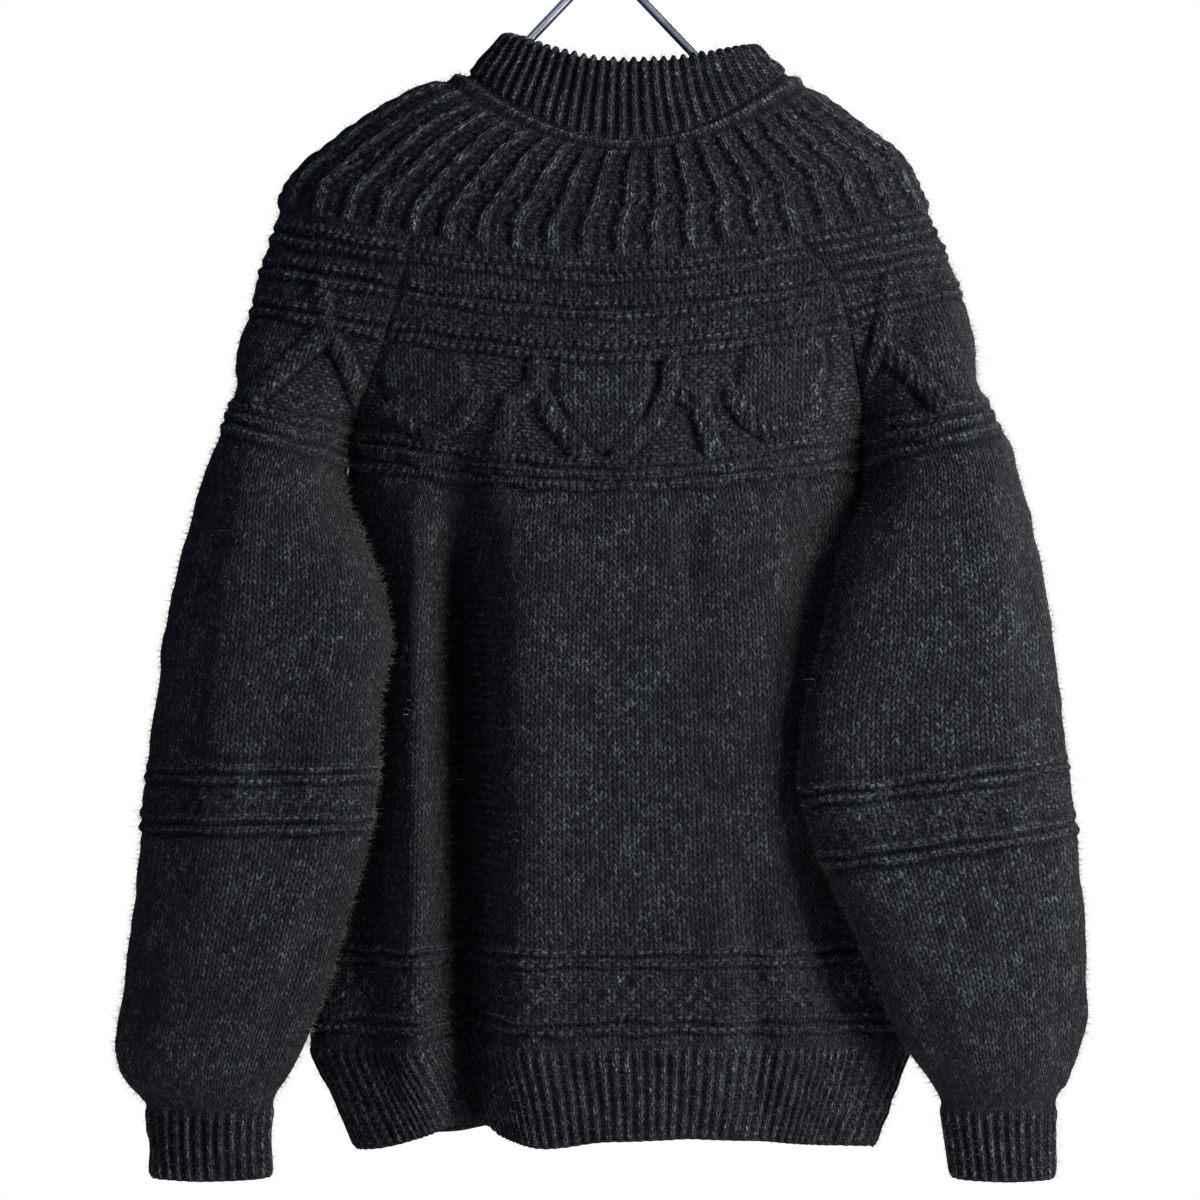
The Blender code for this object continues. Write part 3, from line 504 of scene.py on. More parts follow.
def sleeve_surface(drop, turn, left):
    """A sleeve: an oval tube whose outer and inner edges follow the table. Above the armpit
    it is blended by the pinch share with the ring's stretch between the two seams."""
    side = "left" if left else "right"
    inward = 1 if left else -1
    size = columns_at(LEFT_SLEEVE if left else RIGHT_SLEEVE, drop)
    ring = round_sizes(drop)
    above = drop <= ARMPIT
    outer_z = np.where(above, ring[side + "_z"], SLEEVE_ROW_Z - drop + size["tilt"] / 2)
    inner_z = np.where(above, seam_height(ring, side), SLEEVE_ROW_Z - drop - size["tilt"] / 2)
    outer_x = np.where(above, ring[side + "_x"], size["outer_x"])
    inner_x = np.where(above, ring["seam_" + side], size["inner_x"])
    lean = (np.clip(drop - LEAN_START, 0, ARMPIT - LEAN_START) / (ARMPIT - LEAN_START)) ** 2
    outer_y = size["outer_y"] * lean
    half_depth = ring["half_depth"] * (1 - lean) + size["half_depth"] * lean
    angle = 2 * math.pi * turn
    across = power(np.cos(angle), 2 / size["fullness"])
    along = power(np.sin(angle), 2 / size["fullness"])
    middle_x, middle_y = (outer_x + inner_x) / 2, (outer_y + size["inner_y"]) / 2
    x = middle_x + inward * np.abs(outer_x - inner_x) / 2 * across
    y = middle_y + (size["inner_y"] - outer_y) / 2 * across - half_depth * along
    z = (outer_z + inner_z) / 2 + (inner_z - outer_z) / 2 * across
    tube = np.stack(np.broadcast_arrays(x, y, z), axis=-1)
    seam = seam_share(ring, side)[1]
    ring_angle = seam - math.pi - 2 * seam * turn if left else 2 * seam * turn - seam
    share = pinch(drop)[..., None]
    tube = ring_points(ring, ring_angle) * (1 - share) + tube * share
    toward = np.stack(np.broadcast_arrays(middle_x, middle_y, 0.0), axis=-1) - tube
    toward[..., 2] = 0
    toward /= np.maximum(np.linalg.norm(toward, axis=-1, keepdims=True), 1e-6)
    folds = LEFT_SLEEVE_FOLDS if left else RIGHT_SLEEVE_FOLDS
    return tube + toward * fold_depth(folds, drop, turn)[..., None]


def heights(*stretches):
    """Rows from stretches of (start, end, steps), as a column."""
    rows = [np.linspace(start, end, steps, endpoint=False) for start, end, steps in stretches]
    return np.concatenate(rows + [[stretches[-1][1]]])[:, None]


def even_turns(surface, drop, shares):
    """The turns at even steps of cloth along each row, by its running length."""
    raw = np.linspace(0, 1, RAW_SAMPLES + 1)
    run = running_length(surface(drop, raw[None, :]))
    return np.stack([np.interp(shares * row[-1], row, raw) for row in run])


def running_length(points):
    """The length of cloth along each row up to each point."""
    steps = np.linalg.norm(np.diff(points, axis=1), axis=2)
    return np.concatenate([np.zeros((len(points), 1)), np.cumsum(steps, axis=1)], axis=1)


def outward_directions(points, closed_from, outward):
    """Unit directions square to the surface: the cross product of its two slopes."""
    along = np.gradient(points, axis=1)
    down = np.gradient(points, axis=0)
    ends = (points[closed_from:, 1] - points[closed_from:, -2]) / 2
    along[closed_from:, 0] = along[closed_from:, -1] = ends
    directions = np.cross(along, down) * outward
    return directions / np.maximum(np.linalg.norm(directions, axis=2, keepdims=True), 1e-9)


def uneven(drop, place, amount, shortest, longest, seed):
    """A soft unevenness: a sum of waves in seeded directions, of lengths between two limits."""
    random = np.random.default_rng(seed)
    wave = 2 * math.pi / np.exp(random.uniform(math.log(shortest), math.log(longest), WAVES))
    heading = random.uniform(0, 2 * math.pi, WAVES)
    start = random.uniform(0, 2 * math.pi, WAVES)
    total = 0.0
    for k in range(WAVES):
        phase = wave[k] * (math.cos(heading[k]) * place + math.sin(heading[k]) * drop) + start[k]
        total = total + np.sin(phase)
    return amount * total / math.sqrt(WAVES / 2)


def ridge_relief(drop, ridges, stitch, knit):
    """Garter ridges: bells over the drop, and a groove below each. Their loops are offset by half a
    stitch from one ridge to the next, and rise and wander by sums of sines of the stitch number.
    Gives the height and the purl share."""
    height = np.zeros(np.broadcast(drop, stitch).shape)
    share = np.zeros_like(height)
    grooves = np.zeros_like(height)
    for number, ridge in enumerate(ridges):
        loops = 0.66 + 0.34 * np.cos(2 * math.pi * (stitch + 0.5 * number))
        full = 0.82 + 0.12 * np.sin(1.9 * stitch + 5 * number) + 0.10 * np.sin(0.47 * stitch + 3 * number)
        away = (drop - ridge - 0.8 * np.sin(0.83 * stitch + 2 * number)
                - 0.6 * np.sin(0.31 * stitch + 4 * number))
        height = np.maximum(height, knit.ridge_height * 1000 * bell(away, RIDGE_REACH) * loops * full)
        grooves = np.maximum(grooves, GROOVE_DEPTH * bell(away - GROOVE_AWAY, GROOVE_REACH))
        share = np.maximum(share, bell(away, RIDGE_PURL_REACH))
    return height - grooves, share


def shade_between_ridges(drop, ridges, purl):
    """Painted shade on the plain rows between neighbouring ridges: bells round each ridge, less the
    purl share."""
    close = np.max([bell(drop - ridge, BETWEEN_REACH) for ridge in ridges], axis=0)
    return 0.3 * close * (1 - purl)


def basket_relief(drop, bands, stitch):
    """Basket bands: single plain stitches between sunk ones, by a softened square wave that
    moves on by a stitch every 9 mm of drop."""
    inside = np.max([ease(drop, top - 1, top + 2) * (1 - ease(drop, low - 2, low + 1))
                     for top, low in bands], axis=0)
    wave = np.tanh(2.0 * np.sin(math.pi * (stitch + np.floor(drop / BASKET_STEP))))
    return BASKET_HEIGHT * inside * wave, inside * (wave < 0)


def cord_relief(drop, x, cords, height, half_width):
    """Cables: half-round cords over the distance to each line, twisted like a rope of two strands."""
    best = np.zeros(np.broadcast(drop, x).shape)
    for top_x, top_drop, low_x, low_drop in zip(*cords.values()):
        line_x, line_drop = low_x - top_x, low_drop - top_drop
        length = math.hypot(line_x, line_drop)
        along = np.clip(((x - top_x) * line_x + (drop - top_drop) * line_drop) / length ** 2, 0, 1)
        side = ((x - top_x) * line_drop - (drop - top_drop) * line_x) / length
        away = np.hypot(x - top_x - along * line_x, drop - top_drop - along * line_drop)
        round_top = np.sqrt(np.clip(1 - (away / half_width) ** 2, 0, 1))
        twist = 0.78 + 0.22 * np.cos(2 * math.pi * (along * length + 0.9 * side) / CORD_TWIST)
        best = np.maximum(best, height * round_top * twist)
    return best


def patch_relief(drop, x, patches):
    """Patches: a low dome inside an ellipse, with a groove round it. Gives height and inside share."""
    total, inside = 0.0, 0.0
    for patch_x, patch_drop, half_width, half_height, height in zip(*patches.values()):
        radius = np.hypot((x - patch_x) / half_width, (drop - patch_drop) / half_height)
        total = total + height * (1 - ease(radius, 0.84, 1.0)) - PATCH_GROOVE * bell(radius - 1.06, 0.12)
        inside = np.maximum(inside, 1 - ease(radius, 0.88, 0.98))
    return total, inside


def band_relief(drop, x, cords, patches, knit):
    """The cable band: sunk reverse knitting that carries patches and cords."""
    top, low = CABLE_BAND
    band = ease(drop, top - 2, top + 3) * (1 - ease(drop, low - 3, low + 2))
    dome, inside = patch_relief(drop, x, patches)
    relief = band * (dome - BAND_DEPTH)
    cord = cord_relief(drop, x, cords, knit.cable_height * 1000, CORD_HALF_WIDTH)
    relief = np.where(cord > 0.1, np.maximum(relief, cord), relief)
    return relief, band * (1 - inside) * (cord < 0.5)


def rib_relief(share, ribs, height):
    """Ribs: one round wale and one sunk wale each, as a flattened cosine."""
    wave = -np.cos(2 * math.pi * ribs * share)
    return height * (0.5 + 0.5 * np.tanh(1.4 * wave) / math.tanh(1.4)), ease(-wave, 0.1, 0.7)


def grid_ids(rows, columns, start):
    """Numbers of the points of a grid."""
    return start + np.arange(rows * columns).reshape(rows, columns)


def quads(ids):
    """Faces between neighbours of a grid, first along the row and then down."""
    return np.stack([ids[:-1, :-1], ids[:-1, 1:], ids[1:, 1:], ids[1:, :-1]], axis=-1).reshape(-1, 4)


def rim(fine, coarse):
    """Triangles between a fine line and a line with a quarter of its steps: five for each coarse step."""
    cell = np.arange(len(coarse) - 1)
    first = fine[INNER_STEP * cell[:, None] + np.arange(INNER_STEP + 1)]
    left, right = coarse[cell], coarse[cell + 1]
    half = INNER_STEP // 2
    faces = [np.stack([first[:, k + 1], first[:, k], left], axis=1) for k in range(half)]
    faces.append(np.stack([first[:, half], left, right], axis=1))
    faces += [np.stack([first[:, k + 1], first[:, k], right], axis=1) for k in range(half, INNER_STEP)]
    return np.concatenate(faces)


def make_mesh(name, points, vertex_of, faces, material, chart=None, shares=None):
    """A mesh object from points in millimetres, with the stitch chart as its UV map and shares
    from 0 to 1 as named point values."""
    used, number = np.unique(vertex_of, return_inverse=True)
    number = number.reshape(-1)
    corners = np.concatenate([face.reshape(-1) for face in faces])
    sizes = np.concatenate([np.full(len(face), face.shape[1]) for face in faces])
    place = points[used] * MILLIMETRE
    mesh = bpy.data.meshes.new(name)
    mesh.vertices.add(len(used))
    mesh.vertices.foreach_set("co", place.astype(np.float32).ravel())
    mesh.loops.add(len(corners))
    mesh.loops.foreach_set("vertex_index", number[corners].astype(np.int32))
    mesh.polygons.add(len(sizes))
    mesh.polygons.foreach_set("loop_start", (np.cumsum(sizes) - sizes).astype(np.int32))
    mesh.update(calc_edges=True)
    if chart is not None:
        layer = mesh.uv_layers.new(name="stitches")
        layer.data.foreach_set("uv", chart[corners].astype(np.float32).ravel())
    for share, values in (shares or {}).items():
        attribute = mesh.attributes.new(share, "FLOAT", "POINT")
        attribute.data.foreach_set("value", values[used].astype(np.float32))
    mesh.validate()
    mesh.shade_smooth()
    mesh.materials.append(material)
    item = bpy.data.objects.new(name, mesh)
    bpy.context.scene.collection.objects.link(item)
    return item


def facing_out(points, vertex_of, faces):
    """Turn the faces of a closed form outwards, by the sign of the volume inside them."""
    total = 0.0
    for face in faces:
        corner = [points[vertex_of[face[:, k]]] for k in range(face.shape[1])]
        for k in range(1, face.shape[1] - 1):
            total += np.einsum("ij,ij->", corner[0], np.cross(corner[k], corner[k + 1]))
    return [face[:, ::-1] for face in faces] if total < 0 else faces


def above_surroundings(base, relief):
    """How far each point stands above its surroundings: its relief less the mean relief of nine
    places up to 4 mm away."""
    down, across = (max(1, round(AROUND / np.linalg.norm(np.diff(base, axis=k), axis=2).mean()))
                    for k in (0, 1))
    around = sum(np.roll(relief, (i, j), (0, 1))
                 for i in (-down, 0, down) for j in (-across, 0, across)) / 9
    return relief - around


def make_shell(name, base, relief, chart, purl, closed_from, outward, material, painted_shade=0.0):
    """A closed shell: the base moved out by the relief, and a plain inner side with a quarter of the
    rows and columns. Rows from closed_from on are whole rounds. The last argument is painted shade
    for each place, from 0 to 1, in folds and other nooks."""
    directions = outward_directions(base, closed_from, outward)
    outer = base + directions * relief[..., None]
    inner = (base - directions * CLOTH_WALL)[::INNER_STEP, ::INNER_STEP]
    outer_ids = grid_ids(*outer.shape[:2], 0)
    inner_ids = grid_ids(*inner.shape[:2], outer_ids.size)
    points = np.concatenate([outer.reshape(-1, 3), inner.reshape(-1, 3)])
    vertex_of = np.arange(len(points))
    inner_from = math.ceil(closed_from / INNER_STEP)
    vertex_of[outer_ids[closed_from:, -1]] = outer_ids[closed_from:, 0]
    vertex_of[inner_ids[inner_from:, -1]] = inner_ids[inner_from:, 0]
    triangles = [rim(outer_ids[0], inner_ids[0]), rim(outer_ids[-1][::-1], inner_ids[-1][::-1])]
    if closed_from > 0:
        fine = outer_ids[:closed_from + 1]
        coarse = inner_ids[:inner_from + 1]
        triangles.append(rim(fine[::-1, 0], coarse[::-1, 0]))
        triangles.append(rim(fine[:, -1], coarse[:, -1]))
    faces = [quads(outer_ids), quads(inner_ids)[:, ::-1], np.concatenate(triangles)]
    flat = np.concatenate([chart.reshape(-1, 2), chart[::INNER_STEP, ::INNER_STEP].reshape(-1, 2)])
    above = above_surroundings(base, relief)
    # Painted shade share: hollows below their surroundings, plus the painted shade passed in.
    sunk = np.clip(ease(-above, SHADE_FROM, SHADE_FULL) + painted_shade, 0, 1)
    # Painted highlight share: tops above their surroundings.
    proud = ease(above, SHADE_FROM, SHADE_FULL)
    shares = {
        "purl": np.concatenate([purl.ravel(), np.ones(inner_ids.size)]),
        # The plain inner side gets an even painted shade of 0.2.
        "sunk": np.concatenate([sunk.ravel(), np.full(inner_ids.size, 0.2)]),
        "proud": np.concatenate([proud.ravel(), np.zeros(inner_ids.size)]),
    }
    return make_mesh(name, points, vertex_of, facing_out(points, vertex_of, faces), material, flat, shares)


def cut_size(base):
    """The cut of a piece: its widest row, its middle column and its area, in metres."""
    area = np.linalg.norm(np.cross(base[:-1, 1:] - base[:-1, :-1], base[1:, :-1] - base[:-1, :-1]), axis=2)
    middle = base[:, base.shape[1] // 2]
    length = np.linalg.norm(np.diff(middle, axis=0), axis=1).sum() * MILLIMETRE
    width = running_length(base)[:, -1].max() * MILLIMETRE
    area = area.sum() * MILLIMETRE ** 2
    length = max(length, area / width)
    return (round(width, 3), round(length, 3)), round(area, 4)


class Wiring:
    """Short calls for a material's nodes."""

    def __init__(self, name):
        self.material = bpy.data.materials.new(name)
        self.material.use_nodes = True
        self.tree = self.material.node_tree
        self.shader = self.tree.nodes["Principled BSDF"]
        self.place = self.add("ShaderNodeTexCoord").outputs["Object"]

    def put(self, socket, value):
        """Set a socket to a value, or link it from another socket."""
        if isinstance(value, bpy.types.NodeSocket):
            self.tree.links.new(value, socket)
        else:
            socket.default_value = value

    def fill(self, node, inputs):
        """Put values into a node's inputs by their names."""
        for key, value in inputs.items():
            self.put(node.inputs[key], value)

    def add(self, kind, inputs=None, **settings):
        """A node with its settings and inputs."""
        node = self.tree.nodes.new(kind)
        for key, value in settings.items():
            setattr(node, key, value)
        self.fill(node, inputs or {})
        return node

    def math(self, operation, *values):
        """One sum of the Math node."""
        return self.add("ShaderNodeMath", dict(enumerate(values)), operation=operation).outputs[0]

    def plus(self, first, second):
        """A sum."""
        return self.math("ADD", first, second)

    def times(self, first, second):
        """A product."""
        return self.math("MULTIPLY", first, second)

    def mix(self, share, first, second, **settings):
        """A mix of two numbers or colours."""
        node = self.add("ShaderNodeMix", **{"data_type": "RGBA", **settings})
        sockets = [s for s in node.inputs if s.enabled and s.name in ("Factor", "A", "B")]
        for socket, value in zip(sockets, (share, first, second)):
            self.put(socket, value)
        return next(s for s in node.outputs if s.enabled)

    def noise(self, scale, detail, roughness):
        """Noise at a scale in features for each metre."""
        inputs = {"Vector": self.place, "Scale": scale, "Detail": detail, "Roughness": roughness}
        return self.add("ShaderNodeTexNoise", inputs).outputs["Fac"]

    def ramp(self, value, low, high):
        """Rise from 0 at low to 1 at high."""
        inputs = {"Value": value, "From Min": low, "From Max": high}
        return self.add("ShaderNodeMapRange", inputs, interpolation_type="SMOOTHSTEP").outputs["Result"]

    def share(self, name):
        """A named value of the mesh's points."""
        return self.add("ShaderNodeAttribute", attribute_name=name).outputs["Fac"]

    def bump(self, strength, distance, height):
        """Raise the shader's normal by a height."""
        node = self.add("ShaderNodeBump", {"Strength": strength, "Distance": distance, "Height": height})
        self.put(self.shader.inputs["Normal"], node.outputs["Normal"])


def hump(w, value):
    """4 t (1 - t): a hump over one repeat."""
    return w.times(w.times(value, w.math("SUBTRACT", 1.0, value)), 4.0)


def wool(name, dark, light, stitch_depth):
    """Heathered wool knitting. Its height comes from the stitch chart: slanting legs on either
    side of each wale on the knit side, and staggered rounds on the purl side. Its colour is a mix
    of a dark and a light wool by noise and by stitch, with more of the light wool on raised tops as a
    painted highlight. It is multiplied by a painted shade for the gaps between stitches, a painted
    navy shade for the hollows and folds, and a darker tone for the gaps between fibres."""
    w = Wiring(name)
    chart = w.add("ShaderNodeUVMap", uv_map="stitches").outputs["UV"]
    parts = w.add("ShaderNodeSeparateXYZ", {0: chart})
    waver = w.math("SUBTRACT", w.noise(170.0, 2.0, 0.6), 0.5)
    across = w.plus(parts.outputs["X"], w.times(waver, 0.35))
    down = w.plus(parts.outputs["Y"], w.times(waver, 0.9))
    from_middle = w.times(w.math("ABSOLUTE", w.math("SUBTRACT", w.math("FRACT", across), 0.5)), 2.0)
    slanted = w.plus(down, w.times(from_middle, 0.8))
    knit_height = w.times(hump(w, w.math("FRACT", slanted)), hump(w, from_middle))
    twice = w.times(down, 1.6)
    staggered = w.plus(across, w.times(w.math("FLOOR", twice), 0.5))
    purl_height = w.times(hump(w, w.math("FRACT", staggered)), hump(w, w.math("FRACT", twice)))
    purl = w.share("purl")
    height = w.math("POWER", w.mix(purl, knit_height, purl_height, data_type="FLOAT"), 0.5)
    hairs = w.noise(1300.0, 3.0, 0.8)
    clumps = w.noise(480.0, 4.0, 0.85)
    w.bump(1.0, stitch_depth, w.plus(height, w.plus(w.times(hairs, 0.5), w.times(clumps, 0.6))))
    cell = w.add("ShaderNodeCombineXYZ", {
        "X": w.math("FLOOR", w.times(across, 2.0)),
        "Y": w.math("FLOOR", w.mix(purl, slanted, twice, data_type="FLOAT"))})
    draw = w.add("ShaderNodeTexWhiteNoise", {"Vector": cell.outputs[0]}, noise_dimensions="3D")
    loop_share = w.math("POWER", draw.outputs["Value"], 1.5)
    mottle = w.ramp(w.noise(34.0, 4.0, 0.65), 0.35, 0.7)
    speckle = w.times(w.ramp(clumps, 0.42, 0.66), w.ramp(hairs, 0.38, 0.64))
    share = w.times(speckle, w.plus(0.14, w.times(loop_share, 0.75)))
    share = w.plus(share, w.times(loop_share, 0.07))
    share = w.times(share, w.plus(0.55, w.times(mottle, 0.75)))
    # Painted highlight: raised tops get more of the light wool.
    share = w.times(share, w.plus(0.75, w.times(w.share("proud"), 1.25)))
    # Painted shade in the gaps between stitches: 1 on the lit stitch tops, 0 deep in the gaps.
    stitch_lit_share = w.ramp(w.plus(height, w.times(w.math("SUBTRACT", clumps, 0.5), 0.35)), 0.2, 0.85)
    between_fibres = w.ramp(w.noise(250.0, 3.0, 0.75), 0.40, 0.52)
    colour = w.mix(share, dark, light)
    for shade in (w.mix(stitch_lit_share, (0.04, 0.045, 0.065, 1), WHITE),
                  # Painted navy shade in hollows, folds, beside seams and between ridges, from the sunk
                  # share.
                  w.mix(w.share("sunk"), WHITE, (0.13, 0.145, 0.26, 1)),
                  w.mix(between_fibres, (0.4, 0.42, 0.5, 1), (1.12, 1.12, 1.12, 1))):
        colour = w.mix(1.0, colour, shade, blend_type="MULTIPLY")
    w.fill(w.shader, {"Base Color": colour, "Roughness": 0.95, "Specular IOR Level": 0.08,
                      "Sheen Weight": 0.03, "Sheen Roughness": 0.5, "Sheen Tint": (0.8, 0.82, 0.85, 1)})
    return w.material


def shade_of(colour, share):
    """A darker shade of a colour."""
    return tuple(share * c for c in colour[:3]) + (1.0,)


def loose_wool(name, colour):
    """Single fibres: a matte grey that varies along and between them."""
    w = Wiring(name)
    share = w.ramp(w.noise(90.0, 2.0, 0.6), 0.35, 0.75)
    w.fill(w.shader, {"Base Color": w.mix(share, shade_of(colour, 0.35), colour), "Roughness": 0.8,
                      "Specular IOR Level": 0.2})
    return w.material


def steel(name, colour):
    """Bright drawn steel: fine lines and faint smears in its gloss."""
    w = Wiring(name)
    smears = w.noise(60.0, 4.0, 0.6)
    roughness = w.add("ShaderNodeMapRange", {"Value": smears, "To Min": 0.18, "To Max": 0.38})
    w.fill(w.shader, {"Roughness": roughness.outputs["Result"], "Metallic": 1.0,
                      "Base Color": w.mix(w.ramp(smears, 0.3, 0.7), shade_of(colour, 0.8), colour)})
    w.bump(0.3, 0.0001, w.noise(900.0, 2.0, 0.5))
    return w.material


def pale_floor(name, colour):
    """A matte pale floor with a faint cloudiness."""
    w = Wiring(name)
    w.fill(w.shader, {"Base Color": w.mix(w.noise(3.0, 3.0, 0.5), shade_of(colour, 0.96), colour),
                      "Roughness": 0.8})
    return w.material


def get_material(name, make, *values):
    """A material that is made once and shared."""
    return bpy.data.materials.get(name) or make(name, *values)


def wool_material(knit):
    """The charcoal wool of the body, yoke and sleeves."""
    return get_material("charcoal_heather", wool, (*knit.dark, 1), (*knit.light, 1), knit.stitch_depth)


def hang(piece, node, base, shaped=True):
    """Give a knitted piece its place in the frame: attach it to its body and hide the solid it stands for.
    Its cut and area are worked out, but not kept.
    """
    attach(piece, BODY_NAME)
    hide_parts(node)
    flat, area = cut_size(base)
    area = min(area, flat[0] * flat[1]) if shaped else None


def stitch_chart(stitch, rows, knit):
    """The stitch chart: the numbers of the stitch and of the row at each point."""
    return np.stack(np.broadcast_arrays(stitch, rows / (knit.row_height * 1000)), axis=-1)


def with_ribbing(relief, purl, shares, ribs, rows, change, last, knit):
    """Ribs in place of the relief and purl share: they take over within the change, and lose half
    their height over the last 3 mm."""
    rib, rib_purl = rib_relief(shares[None, :], ribs, knit.rib_height * 1000)
    part = ease(rows, *change)
    end = 1 - 0.5 * ease(rows, last - 3, last)
    return relief * (1 - part) + rib * part * end, purl * (1 - part) + rib_purl * part


def beside_seams(relief, lumps, near, rows, seamed=1.0):
    """Raised knitting and lumps die away beside a seam, further from it where the armpit is near.
    The cloth sinks there, less near the armpit, and meets the yoke level."""
    close = np.where(rows <= ARMPIT, pinch(rows), 1 - ease(rows, ARMPIT, ARMPIT + 40))
    fade = ease(near, 0, 6 + 10 * close)
    sunk = SEAM_SINK * (1 - 0.8 * pinch(rows)) * (1 - ease(near, 0, 4)) * seamed
    return (relief * fade - sunk + lumps * fade) * ease(rows, YOKE_END, YOKE_END + 2.5)


def make_panel(name, front, knit):
    """The front or the back with its welt: the panel's surface at even steps of cloth. Stitches
    are counted from the middle above the armpit and from edge to edge below it."""
    rows = heights((YOKE_END, ARMPIT, CAP_ROWS), (ARMPIT, 224, 8), (224, 500, 52),
                   (500, RIB_START, 40), (RIB_START, HEM_END, 16))
    shares = np.linspace(0, 1, PANEL_COLUMNS + 1)

    def surface(drop, turn):
        """The surface of this panel."""
        return panel_surface(drop, turn, front)

    guide = np.array([[BODY_GUIDE]])
    turns = even_turns(surface, guide, shares)
    width = running_length(surface(guide, turns))[0, -1]
    base = surface(rows, turns)
    run = running_length(base)
    base[..., 2] += hem_lift(base[..., 0]) * ease(rows, RIB_START - 40, HEM_END) * front
    x = base[..., 0]
    at_middle = np.take_along_axis(run, np.argmin(np.abs(x), axis=1)[:, None], axis=1)
    upper = (run - at_middle) / (knit.stitch_width * 1000)
    ribs = round(width / (knit.hem_rib_width * 1000))
    stitch = np.where(rows < TUBE_START, upper, shares * round(width / (knit.stitch_width * 1000)))
    stitch = np.where(rows > RIB_START - 1, shares * 2 * ribs + 0.5, stitch)
    relief, purl = knitted_relief(rows, x if front else -x, stitch, BODY_RIDGES, BODY_BASKETS, BODY_CORDS,
                                  BODY_PATCHES, knit)
    change = (RIB_START - 1, RIB_START + 4)
    relief, purl = with_ribbing(relief, purl, shares, ribs, rows, change, HEM_END, knit)
    near = np.minimum(run, run[:, -1:] - run)
    relief = beside_seams(relief, unevenness(rows, run, 11 if front else 12), near, rows)
    depth = fold_depth(FRONT_FOLDS if front else BACK_FOLDS, rows, x)
    # Painted shade: in the deep fold, beside the side seams below the armpit, between the ridges, above the
    # armpit, and in a soft fold on the body's right.
    painted_shade = (0.75 * ease(depth, 16, 38) + 0.35 * (1 - ease(near, 6, 34)) * ease(rows, 205, 250)
              + shade_between_ridges(rows, BODY_RIDGES, purl) + 0.12 * (1 - ease(rows, 195, 215))
              + 0.3 * bell(x - 62, 44) * ease(rows, 215, 270) * (1 - ease(rows, 530, 570)))
    piece = make_shell(name, base, relief, stitch_chart(stitch, rows, knit), purl, len(rows),
                       -1 if front else 1, wool_material(knit), painted_shade)
    return piece, base


def hem_lift(x):
    """How the front hem rises and falls along its width: a bell over the fold, and waves beside it."""
    return 10 * np.exp(-((x + 95) / 35) ** 2) - 4 * np.exp(-((x + 37) / 25) ** 2) + 3 * ease(x, 10, 60)


def unevenness(drop, run, seed):
    """Hand knitting is never flat: slow waves and small lumps."""
    return uneven(drop, run, 0.45, 22, 70, seed) + uneven(drop, run, 0.16, 7, 14, seed + 50)


def off_start(shares):
    """1 round a tube, but 0 where its columns start and end, so that lumps meet there."""
    return bell(2 * (shares - 0.5), 1.0) ** 0.3


def knitted_relief(rows, x, stitch, ridges, baskets, cords, patches, knit):
    """Everything raised on a panel or sleeve above its ribbing, and where its purl side shows."""
    ridge, ridge_purl = ridge_relief(rows, ridges, stitch, knit)
    block, block_purl = basket_relief(rows, baskets, stitch)
    band, band_purl = band_relief(rows, x, cords, patches, knit)
    relief = np.where(ridge > 0.2, np.maximum(ridge, block + band), ridge + block + band)
    return relief, np.clip(ridge_purl + block_purl + band_purl, 0, 1)


def make_sleeve(name, left, knit):
    """A sleeve: an open cap between the seams, then a tube down to its cuff, at even steps of
    cloth. The relief is lower along the outer edge, which is at a half of the turn."""
    rows = heights((YOKE_END, ARMPIT, CAP_ROWS), (ARMPIT, 220, 4), (220, 418, 60), (418, 476, 32),
                   (476, 626, 48), (626, CUFF_START + 2, 8), (CUFF_START + 2, CUFF_END, 16))
    ribs = round(knit.cuff_ribs)
    shares = np.linspace(0, 1, RIB_STEPS * ribs + 1)

    def surface(drop, turn):
        """The surface of this sleeve."""
        return sleeve_surface(drop, turn, left)

    base = surface(rows, even_turns(surface, rows, shares))
    run = running_length(base)
    upper = (run - run[:, -1:] / 2) / (knit.stitch_width * 1000)
    stitch = np.where(rows < TUBE_START, upper, shares * round(knit.sleeve_stitches))
    stitch = np.where(rows > CUFF_START - 2, shares * 2 * ribs + 0.5, stitch)
    ridges, baskets, cords = ((LEFT_RIDGES, LEFT_BASKETS, LEFT_CAP_CORDS) if left
                              else (RIGHT_RIDGES, RIGHT_BASKETS, RIGHT_CAP_CORDS))
    relief, purl = knitted_relief(rows, base[..., 0], stitch, ridges, baskets, cords, CAP_PATCHES, knit)
    relief = relief * (1 - 0.55 * bell(shares - 0.5, 0.2))
    change = (CUFF_START - 4, CUFF_START + 4)
    relief, purl = with_ribbing(relief, purl, shares, ribs, rows, change, CUFF_END, knit)
    near = np.where(rows < ARMPIT + 40, np.minimum(run, run[:, -1:] - run), 60.0)
    lumps = unevenness(rows, run, 21 if left else 22) * off_start(shares)
    relief = beside_seams(relief, lumps, near, rows, rows < ARMPIT)
    # Painted shade: on the left sleeve's outer side past its pressed crease, on the caps above the armpit
    # (more on the right one) and between the ridges.
    shade_past_crease = ease(shares, 0.265, 0.295) * (1 - ease(shares, 0.5, 0.6)) * ease(rows, 205, 260) * left
    painted_shade = (0.3 * shade_past_crease * (1 - ease(rows, 440, 540))
              + (0.12 if left else 0.25) * (1 - ease(rows, 195, 215)) + shade_between_ridges(rows, ridges, purl))
    piece = make_shell(name, base, relief, stitch_chart(stitch, rows, knit), purl, CAP_ROWS,
                       1 if left else -1, wool_material(knit), painted_shade)
    return piece, base


